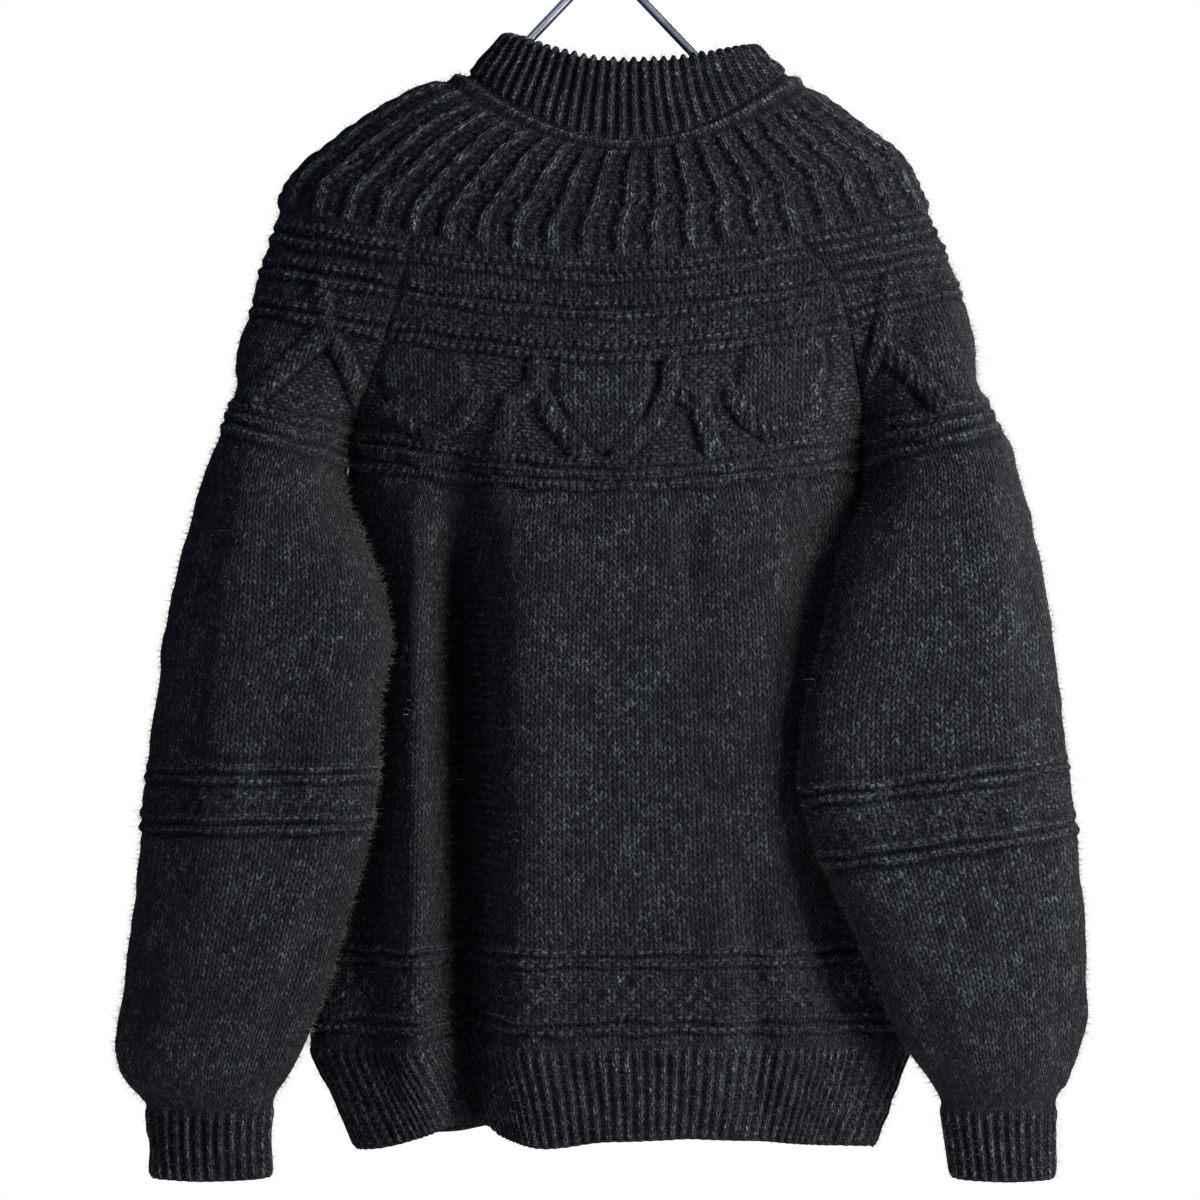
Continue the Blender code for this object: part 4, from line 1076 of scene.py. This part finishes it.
def make_yoke(knit):
    """The round yoke: ribs that fan out from the neck over sunk rungs, with a row of small arches."""
    rows = heights((0.0, YOKE_END, 64))
    ribs = round(knit.yoke_ribs)
    shares = np.linspace(0, 1, YOKE_RIB_STEPS * ribs + 1)
    base = yoke_surface(rows, even_turns(yoke_surface, rows, shares))
    run = running_length(base)
    inside = off_start(shares)
    phase = np.mod(ribs * shares, 1)[None, :]
    from_rib = np.abs(phase - 0.5 + uneven(rows, run, 0.035, 8, 34, 32) * inside)
    rib = 1 - ease(from_rib, 0.11, 0.26)
    strength = ease(rows, 6, 12) * (1 - ease(rows, 72, 77))
    arch_drop = ARCH_TOP + ARCH_RISE * (1 - np.cos(math.pi * np.clip((0.5 - from_rib) / 0.26, 0, 1))) / 2
    arch = bell(rows - arch_drop, 2.6) * ease(from_rib, 0.16, 0.26)
    pick_up = bell(rows - 4.0, 3.2)
    rope = 0.9 + 0.1 * np.cos(2 * math.pi * (rows / ROPE_REPEAT + 2 * (phase - 0.5)))
    rungs = RUNG_HEIGHT * np.cos(2 * math.pi * (rows / RUNG_REPEAT + 0.5 * np.floor(ribs * shares)))
    relief = (knit.yoke_rib_height * 1000 * rib * rope * strength
              - (RUNG_DEPTH - rungs) * (1 - rib) * strength)
    relief = np.maximum(relief, ARCH_HEIGHT * arch * strength)
    relief = np.maximum(relief, knit.ridge_height * 1000 * pick_up)
    relief = relief + uneven(rows, run, 0.35, 9, 40, 31) * strength * inside
    purl = np.clip((1 - rib) * strength * (1 - arch) + pick_up, 0, 1)
    chart = stitch_chart(shares[None, :] * 4 * ribs, rows, knit)
    # The whole yoke gets an even painted shade of 0.17.
    piece = make_shell("yoke_knit", base, relief, chart, purl, 0, -1, wool_material(knit), 0.17)
    return piece, base


def make_collar(knit):
    """The doubled collar: up the outer side, over the rounded top edge and down the inner side.
    The middle of its wall is the collar's surface moved in by half the wall."""
    ribs = round(knit.collar_ribs)
    places = np.linspace(0, 1, RIB_STEPS * ribs + 1)
    half, top = COLLAR_WALL / 2, COLLAR_TOP
    rises = np.concatenate([np.linspace(0, top, COLLAR_UP), np.full(COLLAR_OVER, top),
                            np.linspace(top, 0, COLLAR_DOWN + 1)[1:]])[:, None]
    around = np.concatenate([np.zeros(COLLAR_UP), np.linspace(0, math.pi, COLLAR_OVER + 2)[1:-1],
                             np.full(COLLAR_DOWN, math.pi)])[:, None, None]

    def at(rise, share):
        """The collar's surface at shares of each row's running length."""
        return collar_surface(rise, even_turns(collar_surface, rise, share))

    base = at(rises, places)
    upward = at(rises + 0.02, places) - base
    upward /= np.maximum(np.linalg.norm(upward, axis=2, keepdims=True), 1e-9)
    along = at(rises, np.clip(places + 0.0005, 0, 1)) - at(rises, np.clip(places - 0.0005, 0, 1))
    along[:, 0] = along[:, -1] = along[:, 1] + along[:, -2]
    along /= np.linalg.norm(along, axis=2, keepdims=True)
    outward = np.cross(along, upward)
    from_centre = base - base.mean(axis=1, keepdims=True)
    outward *= np.sign(np.einsum("ijk,ijk->ij", outward, from_centre))[..., None]
    rib, rib_purl = rib_relief(places[None, :], ribs, knit.collar_rib_height * 1000)
    foot = ease(rises, 0.0, 0.07)
    lumps = uneven(rises * COLLAR_HEIGHT, places * 400, 0.2, 8, 30, 41)
    radius = half + rib * foot + lumps * foot * off_start(places)
    ball = np.cos(around) * outward + np.sin(around) * upward
    points = base - half * outward + radius[..., None] * ball
    ids = grid_ids(*points.shape[:2], 0)
    vertex_of = np.arange(ids.size)
    vertex_of[ids[:, -1]] = ids[:, 0]
    points = points.reshape(-1, 3)
    faces = facing_out(points, vertex_of, [quads(np.concatenate([ids, ids[:1]]))])
    climb = np.concatenate([rises[:COLLAR_UP, 0], top + np.linspace(0, COLLAR_EDGE, COLLAR_OVER + 2)[1:-1],
                            2 * top + COLLAR_EDGE - rises[COLLAR_UP + COLLAR_OVER:, 0]])
    chart = stitch_chart(places * 2 * ribs + 0.5, climb[:, None] * -COLLAR_HEIGHT, knit).reshape(-1, 2)
    # Painted shade in the collar's sunk wales, and a painted highlight on its round ones.
    shares = {"purl": rib_purl, "sunk": 0.75 * rib_purl ** 1.5 + 0.1, "proud": 0.6 * (1 - rib_purl) ** 2}
    shares = {name: np.broadcast_to(values, ids.shape).ravel() for name, values in shares.items()}
    piece = make_mesh("collar_knit", points, vertex_of, faces, wool_material(knit), chart, shares)
    return piece, base[:COLLAR_UP + COLLAR_OVER]


def draw_roots(pieces, count, random, on_faces):
    """Seeded places on the pieces' outer sides and the surface's directions there, shared out by
    area. On faces, the chance of a face goes by its area and is highest round the sides, where the
    nap has not been pressed flat. Otherwise each place is a point of the mesh."""
    roots, ways = [], []
    areas = np.array([sum(p.area for p in piece.data.polygons) for piece in pieces])
    for piece, part in zip(pieces, areas / areas.sum()):
        items, key = (piece.data.polygons, "center") if on_faces else (piece.data.vertices, "co")
        place, way = np.zeros(len(items) * 3), np.zeros(len(items) * 3)
        items.foreach_get(key, place)
        items.foreach_get("normal", way)
        outer, number = int(len(items) * OUTER_SHARE), round(count * part)
        if on_faces:
            size = np.zeros(len(items))
            items.foreach_get("area", size)
            chance = size[:outer] * (0.07 + (1 - np.abs(way[1::3][:outer])) ** 4)
            pick = random.choice(outer, number, p=chance / chance.sum())
        else:
            pick = random.integers(0, outer, number)
        roots.append(place.reshape(-1, 3)[pick] / MILLIMETRE)
        ways.append(way.reshape(-1, 3)[pick])
    return np.concatenate(roots), np.concatenate(ways)


def unit(vectors):
    """The vectors at a length of 1."""
    return vectors / np.maximum(np.linalg.norm(vectors, axis=1, keepdims=True), 1e-6)


def finish_hairs(name, rings, faces, colour):
    """One mesh of many hairs with the same faces, from the places of each of a hair's points."""
    points = np.stack(rings, axis=1).reshape(-1, 3)
    vertex_of = np.arange(len(points))
    start = vertex_of[::len(rings), None]
    faces = facing_out(points, vertex_of, [np.concatenate([start + np.array(face) for face in kind])
                                           for kind in faces])
    item = make_mesh(name, points, vertex_of, faces, get_material(name + "_wool", loose_wool, (*colour, 1)))
    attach(item, BODY_NAME)


def make_fibres(name, pieces, count, longest, thickness, colour, seed):
    """Loose fibres: thin three-sided hairs that leave the knitting and curl over. Each is a
    parabola from its root along the surface's direction, bent sideways by a seeded draw."""
    random = np.random.default_rng(seed)
    root, way = draw_roots(pieces, count, random, False)
    number = len(root)
    length = longest * (0.25 + 0.75 * random.random((number, 1)) ** 2)
    lean = random.normal(size=(number, 3)) * 0.75
    curl = random.normal(size=(number, 3)) * 0.6
    root = root + random.normal(size=(number, 3)) * 0.8 - way * 0.5
    first = unit(way + lean)
    steps = np.array([0.0, 0.35, 0.7, 1.0])[:, None, None]
    line = root + length * (first * steps + curl * steps ** 2 * 0.5)
    side = unit(np.cross(first, way + 1e-3))
    other = np.cross(first, side)
    angles = [2 * math.pi * corner / 3 for corner in range(3)]
    rings = [line[k] + width * (side * math.cos(angle) + other * math.sin(angle))
             for k, width in enumerate(thickness * np.array([1.0, 0.9, 0.6])) for angle in angles]
    walls = [[3 * k + c, 3 * k + (c + 1) % 3, 3 * k + 3 + (c + 1) % 3, 3 * k + 3 + c]
             for k in range(2) for c in range(3)]
    ends = [[6 + c, 6 + (c + 1) % 3, 9] for c in range(3)] + [[2, 1, 0]]
    finish_hairs(name, rings + [line[3]], (walls, ends), colour)


def make_nap(name, pieces, count, longest, thickness, colour, seed):
    """The short nap of the wool: straight spikes of three sides that lean off the surface. Each
    stands on a seeded face, along the face's direction plus a seeded lean."""
    random = np.random.default_rng(seed)
    root, way = draw_roots(pieces, count, random, True)
    number = len(root)
    heading = unit(way + random.normal(size=(number, 3)) * 0.75)
    root = root + random.normal(size=(number, 3)) * 0.4 - heading * 0.6
    tip = root + heading * longest * (0.3 + 0.7 * random.random((number, 1)))
    side = unit(np.cross(heading, way + (0.011, 0.017, 0.023)))
    other = np.cross(heading, side)
    foot = [root + thickness * (side * math.cos(a) + other * math.sin(a)) for a in (0.0, 2.1, 4.2)]
    finish_hairs(name, foot + [tip], [((0, 1, 3), (1, 2, 3), (2, 0, 3), (2, 1, 0))], colour)


def bend(points, radius, steps):
    """A path with its corners rounded: each corner becomes an arc of the radius."""
    points = [np.array(p, dtype=float) for p in points]
    path = [points[0]]
    for before, corner, after, r in zip(points[:-2], points[1:-1], points[2:], radius):
        first = (before - corner) / np.linalg.norm(before - corner)
        second = (after - corner) / np.linalg.norm(after - corner)
        half = math.acos(float(first @ second)) / 2
        middle = (first + second) / np.linalg.norm(first + second)
        centre = corner + middle * r / math.sin(half)
        start = corner + first * r / math.tan(half) - centre
        end = corner + second * r / math.tan(half) - centre
        sweep = math.pi - 2 * half
        t = np.linspace(0, 1, steps + 1)[:, None]
        path.extend(centre + (start * np.sin((1 - t) * sweep) + end * np.sin(t * sweep)) / math.sin(sweep))
    path.append(points[-1])
    return np.array(path)


def make_rod(name, path, radii, material):
    """A round profile carried along a path in the hanger's plane, closed at both ends."""
    sides = 24
    path, radii = np.array(path), np.array(radii)
    heading = np.gradient(path, axis=0)
    heading /= np.linalg.norm(heading, axis=1, keepdims=True)
    up = np.stack([-heading[:, 1], heading[:, 0]], axis=1)
    angle = 2 * math.pi * np.arange(sides + 1) / sides
    reach = radii[:, None] * np.cos(angle)
    x = path[:, :1] + up[:, :1] * reach
    z = path[:, 1:] + up[:, 1:] * reach
    y = radii[:, None] * np.sin(angle)
    points = np.stack([x, y, z], axis=-1)
    ids = grid_ids(*points.shape[:2], 0)
    vertex_of = np.arange(ids.size)
    vertex_of[ids[:, -1]] = ids[:, 0]
    flat = points.reshape(-1, 3)
    faces = facing_out(flat, vertex_of, [quads(ids), ids[:1, :-1], ids[-1:, -2::-1]])
    item = make_mesh(name, flat, vertex_of, faces, material)
    item.data.set_sharp_from_angle(angle=math.radians(40))
    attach(item, BODY_NAME)
    return item


def make_hanger(sizes):
    """The rod runs from end to end over the shoulders, and the hook stands on its crown. The
    hook's stem is a cubic from the ferrule to the loop, and the loop is an arc."""
    material = get_material("drawn_steel", steel, (*sizes.colour, 1))
    radius, wire = sizes.rod_radius * 1000, sizes.wire_radius * 1000
    crown = (0.0, ROD_CROWN[1] + ROD_CROWN_BEND * (math.sqrt(2) - 1))
    right = [crown, ROD_NECK, ROD_BOW, ROD_END]
    left = [(-x, z) for x, z in right[:0:-1]]
    path = bend(left + right, (ROD_BOW_BEND, ROD_NECK_BEND, ROD_CROWN_BEND, ROD_NECK_BEND, ROD_BOW_BEND), 12)
    seat = path[:, 1].max() + radius + 0.02
    toward = (path[1] - path[0]) / np.linalg.norm(path[1] - path[0])
    rounding = np.linspace(END_ANGLE, 0, END_RINGS)[:-1]
    dome = path[0] - toward * radius * np.sin(rounding)[:, None]
    domed = radius * np.cos(rounding)
    whole = np.concatenate([dome, path, dome[::-1] * (-1.0, 1.0)])
    radii = np.concatenate([domed, np.full(len(path), radius), domed[::-1]])
    rod = make_rod("hanger_rod_steel", whole, radii, material)
    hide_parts("hanger_rod")
    loop = HOOK_INNER_RADIUS + wire
    centre = np.array([0.0, -HOOK_INNER_RADIUS])
    join = math.radians(HOOK_JOIN)
    start = np.array([0.0, seat + FERRULE_HEIGHT + 2])
    end = centre + loop * np.array([math.cos(join), math.sin(join)])
    leaving = np.array([-math.sin(join), math.cos(join)]) * HOOK_STEM_PULL
    t = np.linspace(0, 1, 16)[:, None]
    stem = ((1 + 2 * t) * (1 - t) ** 2 * start + t * (1 - t) ** 2 * np.array([0.0, HOOK_STEM_PULL])
            + t * t * (3 - 2 * t) * end + t * t * (t - 1) * leaving)
    turn = np.linspace(join, math.radians(HOOK_END), 50)[1:, None]
    arc = centre + loop * np.hstack([np.cos(turn), np.sin(turn)])
    foot = np.array([[0, 0], [0, FERRULE_EDGE], [0, FERRULE_HEIGHT - FERRULE_EDGE], [0, FERRULE_HEIGHT],
                     [0, FERRULE_HEIGHT + 0.4]])
    narrow = FERRULE_RADIUS - FERRULE_EDGE
    foot_radii = [narrow, FERRULE_RADIUS, FERRULE_RADIUS, narrow, wire]
    tip = arc[-1] - arc[-2]
    tip /= np.linalg.norm(tip)
    rounding = np.linspace(0, END_ANGLE, END_RINGS)[1:]
    last = arc[-1] + tip * wire * np.sin(rounding)[:, None]
    path = np.concatenate([foot + (0, seat), stem, arc, last])
    radii = np.concatenate([foot_radii, np.full(len(stem) + len(arc), wire), wire * np.cos(rounding)])
    hook = make_rod("hanger_hook_steel", path, radii, material)
    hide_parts("hanger_hook")


def add_light(scene, name, place, width, colour, watts):
    """A square soft light aimed at the middle of the garment."""
    lamp = bpy.data.lights.new(name, "AREA")
    lamp.size = width
    lamp.energy = watts
    lamp.color = colour
    item = bpy.data.objects.new(name, lamp)
    item.location = place
    way = mathutils.Vector(LIGHT_TARGET) - item.location
    item.rotation_euler = way.to_track_quat("-Z", "Y").to_euler()
    scene.collection.objects.link(item)


def make_stage(scene, sizes):
    """A round pale floor below the cloth, a white surround, three soft lights and the camera. The
    camera stands level with the garment's middle, and its lens is distance x sensor / width."""
    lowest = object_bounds()[0][2]
    corners = np.arange(FLOOR_CORNERS)
    turn = 2 * math.pi * corners / FLOOR_CORNERS
    disc = np.stack([np.cos(turn), np.sin(turn), 0 * turn], axis=1) * sizes.floor_radius
    disc[:, 2] = lowest - sizes.floor_drop
    floor = make_mesh("floor", disc / MILLIMETRE, corners, [corners[None, :]],
                      get_material("pale_floor", pale_floor, (*sizes.floor_colour, 1)))
    floor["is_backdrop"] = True
    world = bpy.data.worlds.new("surround")
    world.use_nodes = True
    nodes, links = world.node_tree.nodes, world.node_tree.links
    nodes.clear()
    both = nodes.new("ShaderNodeMixShader")
    links.new(nodes.new("ShaderNodeLightPath").outputs["Is Camera Ray"], both.inputs["Fac"])
    for socket, colour, strength in ((1, SURROUND_COLOUR, sizes.surround), (2, WHITE, 1.0)):
        shade = nodes.new("ShaderNodeBackground")
        shade.inputs["Color"].default_value = colour
        shade.inputs["Strength"].default_value = strength
        links.new(shade.outputs[0], both.inputs[socket])
    links.new(both.outputs[0], nodes.new("ShaderNodeOutputWorld").inputs["Surface"])
    scene.world = world
    for name, place, width, colour in LIGHTS:
        add_light(scene, name, place, width, colour, getattr(sizes, name + "_power"))
    lens = bpy.data.cameras.new("camera")
    lens.sensor_width = SENSOR_WIDTH
    lens.lens = SENSOR_WIDTH * sizes.camera_distance / sizes.view_width
    camera = bpy.data.objects.new("camera", lens)
    camera.location = (VIEW_MIDDLE[0], -sizes.camera_distance, VIEW_MIDDLE[1])
    camera.rotation_euler = (math.pi / 2, 0.0, 0.0)
    scene.collection.objects.link(camera)
    scene.camera = camera
    scene.view_settings.view_transform = "Standard"


def plain_value(name, description, default, **kind):
    """A number in the sidebar."""
    return bpy.props.FloatProperty(name=name, description=description, default=default, **kind)


def length_value(name, description, default):
    """A length in metres."""
    return plain_value(name, description, default, unit="LENGTH", precision=4)


def power_value(name, description, default):
    """The power of a light in watts."""
    return plain_value(name, description, default, unit="POWER")


def count_value(name, description, default):
    """A whole number."""
    return bpy.props.IntProperty(name=name, description=description, default=default)


def colour_value(name, description, default):
    """A colour."""
    return bpy.props.FloatVectorProperty(name=name, description=description, default=default, subtype="COLOR")


class KnitSettings(bpy.types.PropertyGroup):
    """Sizes and colours of the knitting."""

    stitch_width: length_value("Stitch width", "Width of a plain stitch", 0.0058)
    row_height: length_value("Row height", "Height of a plain row", 0.0041)
    hem_rib_width: length_value("Hem rib width", "Width of one rib of the hem", 0.0075)
    sleeve_stitches: count_value("Sleeve stitches", "Stitches round a sleeve", 66)
    cuff_ribs: count_value("Cuff ribs", "Ribs round a cuff", 27)
    yoke_ribs: count_value("Yoke ribs", "Ribs round the yoke", 42)
    collar_ribs: count_value("Collar ribs", "Ribs round the collar", 60)
    rib_height: length_value("Rib height", "Height of the ribs of hem and cuffs", 0.0024)
    collar_rib_height: length_value("Collar rib height", "Height of the collar's ribs", 0.0030)
    yoke_rib_height: length_value("Yoke rib height", "Height of the yoke's ribs", 0.0038)
    ridge_height: length_value("Ridge height", "Height of the garter ridges", 0.0036)
    cable_height: length_value("Cable height", "Height of the cables", 0.0042)
    stitch_depth: length_value("Stitch depth", "Depth of single stitches", 0.0026)
    dark: colour_value("Dark wool", "The darker fibres", (0.0125, 0.0152, 0.0185))
    light: colour_value("Light wool", "The paler fibres of the heather", (0.31, 0.36, 0.385))
    fibre_count: count_value("Loose fibres", "Number of loose fibres", 3600)
    nap_count: count_value("Nap", "Number of short spikes of nap", 46000)
    nap_length: length_value("Nap length", "The longest spike of nap", 0.0068)
    nap_colour: colour_value("Nap colour", "Colour of the nap", (0.2, 0.198, 0.19))
    fibre_length: length_value("Fibre length", "The longest loose fibre", 0.011)
    fibre_colour: colour_value("Fibre colour", "Colour of the loose fibres", (0.16, 0.165, 0.17))
    lint_count: count_value("Lint", "Number of pale bits of lint", 90)
    lint_length: length_value("Lint length", "The longest bit of lint", 0.008)
    lint_colour: colour_value("Lint colour", "Colour of the lint", (0.62, 0.61, 0.58))


class HangerSettings(bpy.types.PropertyGroup):
    """Sizes and colour of the hanger."""

    rod_radius: length_value("Rod radius", "Radius of the bent rod", 0.003)
    wire_radius: length_value("Wire radius", "Radius of the hook's wire", 0.002)
    colour: colour_value("Steel", "Colour of the steel", (0.62, 0.63, 0.65))


class StageSettings(bpy.types.PropertyGroup):
    """Floor, light and camera."""

    floor_drop: length_value("Floor drop", "How far the floor is below the lowest cloth", 0.2)
    floor_radius: length_value("Floor radius", "Radius of the round floor", 0.9)
    floor_colour: colour_value("Floor colour", "Colour of the floor", (0.82, 0.82, 0.81))
    camera_distance: length_value("Camera distance", "Distance from the camera to the hanger", 2.2)
    view_width: length_value("View width", "Width of the view at the hanger", 0.768)
    key_power: power_value("Key light", "Power of the soft light from the right", 34.0)
    fill_power: power_value("Fill light", "Power of the soft light from the left", 6.0)
    rear_power: power_value("Rear light", "Power of the soft light from behind", 50.0)
    surround: plain_value("Surround", "Strength of the light from all round", 0.24)


class KNITWEAR_OT_panels(bpy.types.Operator):
    """Make the front and the back, with their cables and welts"""

    bl_idname = "knitwear.panels"
    bl_label = "Front and back"

    def execute(self, context):
        for node, front in (("front", True), ("back", False)):
            piece, base = make_panel(node + "_knit", front, context.scene.knit_settings)
            hang(piece, node, base)
        return {"FINISHED"}


class KNITWEAR_OT_sleeves(bpy.types.Operator):
    """Make both sleeves, with their cuffs"""

    bl_idname = "knitwear.sleeves"
    bl_label = "Sleeves"

    def execute(self, context):
        for node, left in (("sleeve_left", True), ("sleeve_right", False)):
            piece, base = make_sleeve(node + "_knit", left, context.scene.knit_settings)
            hang(piece, node, base)
        return {"FINISHED"}


class KNITWEAR_OT_yoke(bpy.types.Operator):
    """Make the round yoke"""

    bl_idname = "knitwear.yoke"
    bl_label = "Yoke"

    def execute(self, context):
        piece, base = make_yoke(context.scene.knit_settings)
        hang(piece, "yoke", base)
        return {"FINISHED"}


class KNITWEAR_OT_collar(bpy.types.Operator):
    """Make the doubled collar"""

    bl_idname = "knitwear.collar"
    bl_label = "Collar"

    def execute(self, context):
        piece, base = make_collar(context.scene.knit_settings)
        hang(piece, "collar", base, shaped=False)
        return {"FINISHED"}


class KNITWEAR_OT_fibres(bpy.types.Operator):
    """Make the nap, the loose fibres and the lint that cling to the knitting"""

    bl_idname = "knitwear.fibres"
    bl_label = "Fibres and lint"

    def execute(self, context):
        knit = context.scene.knit_settings
        pieces = [item for item in context.scene.objects if item.name.endswith("_knit")]
        pieces.sort(key=lambda item: item.name)
        make_nap("nap", pieces, knit.nap_count, knit.nap_length * 1000, NAP_THICKNESS, knit.nap_colour, 4)
        make_fibres("loose_fibres", pieces, knit.fibre_count, knit.fibre_length * 1000, FIBRE_THICKNESS,
                    knit.fibre_colour, 5)
        make_fibres("lint", pieces, knit.lint_count, knit.lint_length * 1000, LINT_THICKNESS,
                    knit.lint_colour, 6)
        return {"FINISHED"}


class KNITWEAR_OT_hanger(bpy.types.Operator):
    """Make the hanger's bent rod and its hook"""

    bl_idname = "knitwear.hanger"
    bl_label = "Hanger"

    def execute(self, context):
        make_hanger(context.scene.hanger_settings)
        return {"FINISHED"}


class KNITWEAR_OT_stage(bpy.types.Operator):
    """Set up the floor, the surround, the lights and the camera"""

    bl_idname = "knitwear.stage"
    bl_label = "Stage"

    def execute(self, context):
        make_stage(context.scene, context.scene.stage_settings)
        return {"FINISHED"}


OPERATORS = (KNITWEAR_OT_panels, KNITWEAR_OT_sleeves, KNITWEAR_OT_yoke, KNITWEAR_OT_collar,
             KNITWEAR_OT_fibres, KNITWEAR_OT_hanger, KNITWEAR_OT_stage)


class KNITWEAR_PT_sidebar(bpy.types.Panel):
    """Lists the steps and the sizes"""

    bl_idname = "KNITWEAR_PT_sidebar"
    bl_label = "Round-yoke pullover"
    bl_space_type = "VIEW_3D"
    bl_region_type = "UI"
    bl_category = "Knitwear"

    def draw(self, context):
        for operator in OPERATORS:
            self.layout.operator(operator.bl_idname)
        for group in SETTINGS:
            column_layout = self.layout.column()
            values = getattr(context.scene, group)
            for name in SETTINGS[group].__annotations__:
                column_layout.prop(values, name)


SETTINGS = {
    "knit_settings": KnitSettings,
    "hanger_settings": HangerSettings,
    "stage_settings": StageSettings,
}


def register():
    """Register the settings, the operators and the sidebar panel."""
    for group, kind in SETTINGS.items():
        bpy.utils.register_class(kind)
        setattr(bpy.types.Scene, group, bpy.props.PointerProperty(type=kind))
    for kind in OPERATORS + (KNITWEAR_PT_sidebar,):
        bpy.utils.register_class(kind)


def unregister():
    """Take everything out again, in the reverse order."""
    for kind in reversed(OPERATORS + (KNITWEAR_PT_sidebar,)):
        bpy.utils.unregister_class(kind)
    for group, kind in reversed(list(SETTINGS.items())):
        delattr(bpy.types.Scene, group)
        bpy.utils.unregister_class(kind)


def main():
    """Make every piece in order."""
    register()
    bpy.ops.knitwear.yoke()
    bpy.ops.knitwear.panels()
    bpy.ops.knitwear.sleeves()
    bpy.ops.knitwear.collar()
    bpy.ops.knitwear.fibres()
    bpy.ops.knitwear.hanger()
    bpy.ops.knitwear.stage()


if __name__ == "__main__":
    main()
